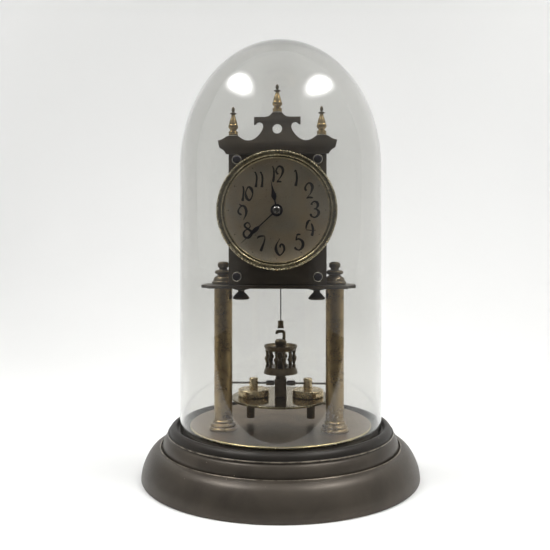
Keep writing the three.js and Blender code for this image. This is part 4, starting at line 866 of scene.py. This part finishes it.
def calc(op, a_, b_):
    n_ = node(nt, "ShaderNodeMath", operation=op)
    for i_, v_ in enumerate((a_, b_)):
        if isinstance(v_, (int, float)):
            n_.inputs[i_].default_value = v_
        else:
            nt.links.new(v_, n_.inputs[i_])
    return n_.outputs[0]


corner = calc("MULTIPLY", calc("MULTIPLY", px_.outputs["X"], px_.outputs["X"]), calc("MULTIPLY", px_.outputs["Z"], 0.8))
glow = calc("ADD", calc("ADD", 0.06, calc("MULTIPLY", px_.outputs["X"], 0.07)), calc("MINIMUM", corner, 0.2))
glow = calc("MULTIPLY", glow, remap(nt, px_.outputs["Y"], 0.1, 0.5, 0.0, 1.0))
nt.links.new(calc("MAXIMUM", glow, 0.0), b.inputs["Emission Strength"])
b.inputs["Emission Color"].default_value = (1, 1, 0.99, 1)
nt.links.new(b.outputs["BSDF"], out.inputs["Surface"])
prof = [(-0.3, 0.0), (0.0, 0.0), (0.36, 0.0)]
for i in range(1, 17):
    t = pi / 2 * i / 16
    prof.append((0.36 + 0.6 * sin(t), 0.6 - 0.6 * cos(t)))
prof.append((0.96, 3.0))
me = bpy.data.meshes.new("floor")
me.from_pydata([(x, y, z) for y, z in prof for x in (-4.0, 4.0)], [], [(2 * i, 2 * i + 1, 2 * i + 3, 2 * i + 2) for i in range(len(prof) - 1)])
me.polygons.foreach_set("use_smooth", [True] * len(me.polygons))
me.materials.append(fm)
floor = bpy.data.objects.new("floor", me)
coll.objects.link(floor)
floor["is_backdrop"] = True

w = bpy.data.worlds.new("studio")
scene.world = w
w.use_nodes = True
nt = w.node_tree
nt.nodes.clear()
wo = node(nt, "ShaderNodeOutputWorld")
bg = node(nt, "ShaderNodeBackground")
tc = node(nt, "ShaderNodeTexCoord")
sp = node(nt, "ShaderNodeSeparateXYZ")
nt.links.new(tc.outputs["Generated"], sp.inputs[0])
wc = ramp(nt, remap(nt, sp.outputs["Z"], -0.2, 0.8, 0, 1), [(0.0, (0.98, 0.98, 0.97)), (0.2, (0.92, 0.92, 0.91)), (0.32, (0.79, 0.79, 0.775)), (0.5, (0.76, 0.76, 0.745)), (1.0, (0.7, 0.7, 0.7))])
front = node(nt, "ShaderNodeMath", operation="MAXIMUM")
nt.links.new(remap(nt, sp.outputs["Y"], -0.85, 0.1, 0.14, 1.0), front.inputs[0])
nt.links.new(remap(nt, sp.outputs["Z"], 0.1, 0.5, 0.14, 0.75), front.inputs[1])
front = front.outputs[0]
side = node(nt, "ShaderNodeMath", operation="MULTIPLY")
nt.links.new(remap(nt, sp.outputs["X"], -0.6, 0.6, 0.93, 1.1), side.inputs[0])
nt.links.new(front, side.inputs[1])
mul = node(nt, "ShaderNodeVectorMath", operation="SCALE")
nt.links.new(wc, mul.inputs[0])
nt.links.new(side.outputs[0], mul.inputs["Scale"])
nt.links.new(mul.outputs[0], bg.inputs["Color"])
bg.inputs["Strength"].default_value = 0.8
nt.links.new(bg.outputs[0], wo.inputs["Surface"])


def softbox(name, az, el, d, size, watts, target=(0, 0, 0.16)):
    """az from -Y toward +X, in degrees."""
    L = bpy.data.lights.new(name, "AREA")
    L.shape = "ELLIPSE"
    L.size, L.size_y = size
    L.energy = watts
    L.use_nodes = True
    nl = L.node_tree
    em = nl.nodes["Emission"]
    ge = node(nl, "ShaderNodeNewGeometry")
    off = node(nl, "ShaderNodeVectorMath", operation="DISTANCE")
    off.inputs[1].default_value = (0.5, 0.5, 0)
    nl.links.new(ge.outputs["Parametric"], off.inputs[0])
    fall = node(nl, "ShaderNodeMath", operation="POWER")
    fall.inputs[1].default_value = 2.4
    nl.links.new(remap(nl, off.outputs["Value"], 0.5, 0.04, 0.0, 1.0), fall.inputs[0])
    nl.links.new(remap(nl, fall.outputs[0], 0, 1, 0, 5.7), em.inputs["Strength"])
    o = bpy.data.objects.new(name, L)
    coll.objects.link(o)
    a, e = math.radians(az), math.radians(el)
    t = Vector(target)
    o.location = t + Vector((sin(a) * cos(e), -cos(a) * cos(e), sin(e))) * d
    o.rotation_euler = (t - o.location).to_track_quat("-Z", "Y").to_euler()
    return o


softbox("softbox_left", -72, 57, 0.95, (0.85, 0.34), 6.5)
softbox("softbox_right", 72, 57, 0.95, (0.85, 0.34), 6.5)


def card(name, centre, half_w, half_h, value, face="Y"):
    """Dark card that only reflections see."""
    m_, nt_, out_ = new_mat(name)
    e_ = node(nt_, "ShaderNodeEmission")
    e_.inputs["Color"].default_value = (value, value * 0.97, value * 0.93, 1)
    nt_.links.new(e_.outputs[0], out_.inputs["Surface"])
    me_ = bpy.data.meshes.new(name)
    me_.from_pydata([(-half_w, 0, -half_h), (half_w, 0, -half_h), (half_w, 0, half_h), (-half_w, 0, half_h)], [], [(0, 1, 2, 3)])
    me_.materials.append(m_)
    o_ = bpy.data.objects.new(name, me_)
    o_.location = centre
    coll.objects.link(o_)
    o_.visible_camera = False
    o_.visible_diffuse = False
    o_.visible_shadow = False
    o_.visible_volume_scatter = False
    o_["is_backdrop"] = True
    return o_


card("dark_card", (0.03, -0.9, 0.19), 0.55, 0.17, 0.06)
card("floor_card", (0.0, -0.38, 0.002), 0.8, 0.17, 0.16).rotation_euler = (-pi / 2, 0, 0)

# ------------------------------------------------------------ camera
az = math.radians(3.2)
cam_d = bpy.data.cameras.new("camera")
cam = bpy.data.objects.new("camera", cam_d)
coll.objects.link(cam)
cam_d.sensor_width = 36
cam_d.lens = 36 * 720 / 550
cam_d.shift_x = -0.0104
cam_d.shift_y = -0.0618
cam_d.clip_start = 0.01
cam.location = (0.526 * sin(az), -0.526 * cos(az), 0.1685)
cam.rotation_euler = (pi / 2, 0, az)
scene.camera = cam
scene.view_settings.view_transform = "Standard"

BOUNDS_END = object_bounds()
as_list = lambda v: [as_list(x) for x in v] if hasattr(v, "__len__") else float(v)
{"cad": as_list(BOUNDS_CAD), "visual": as_list(BOUNDS_END)}
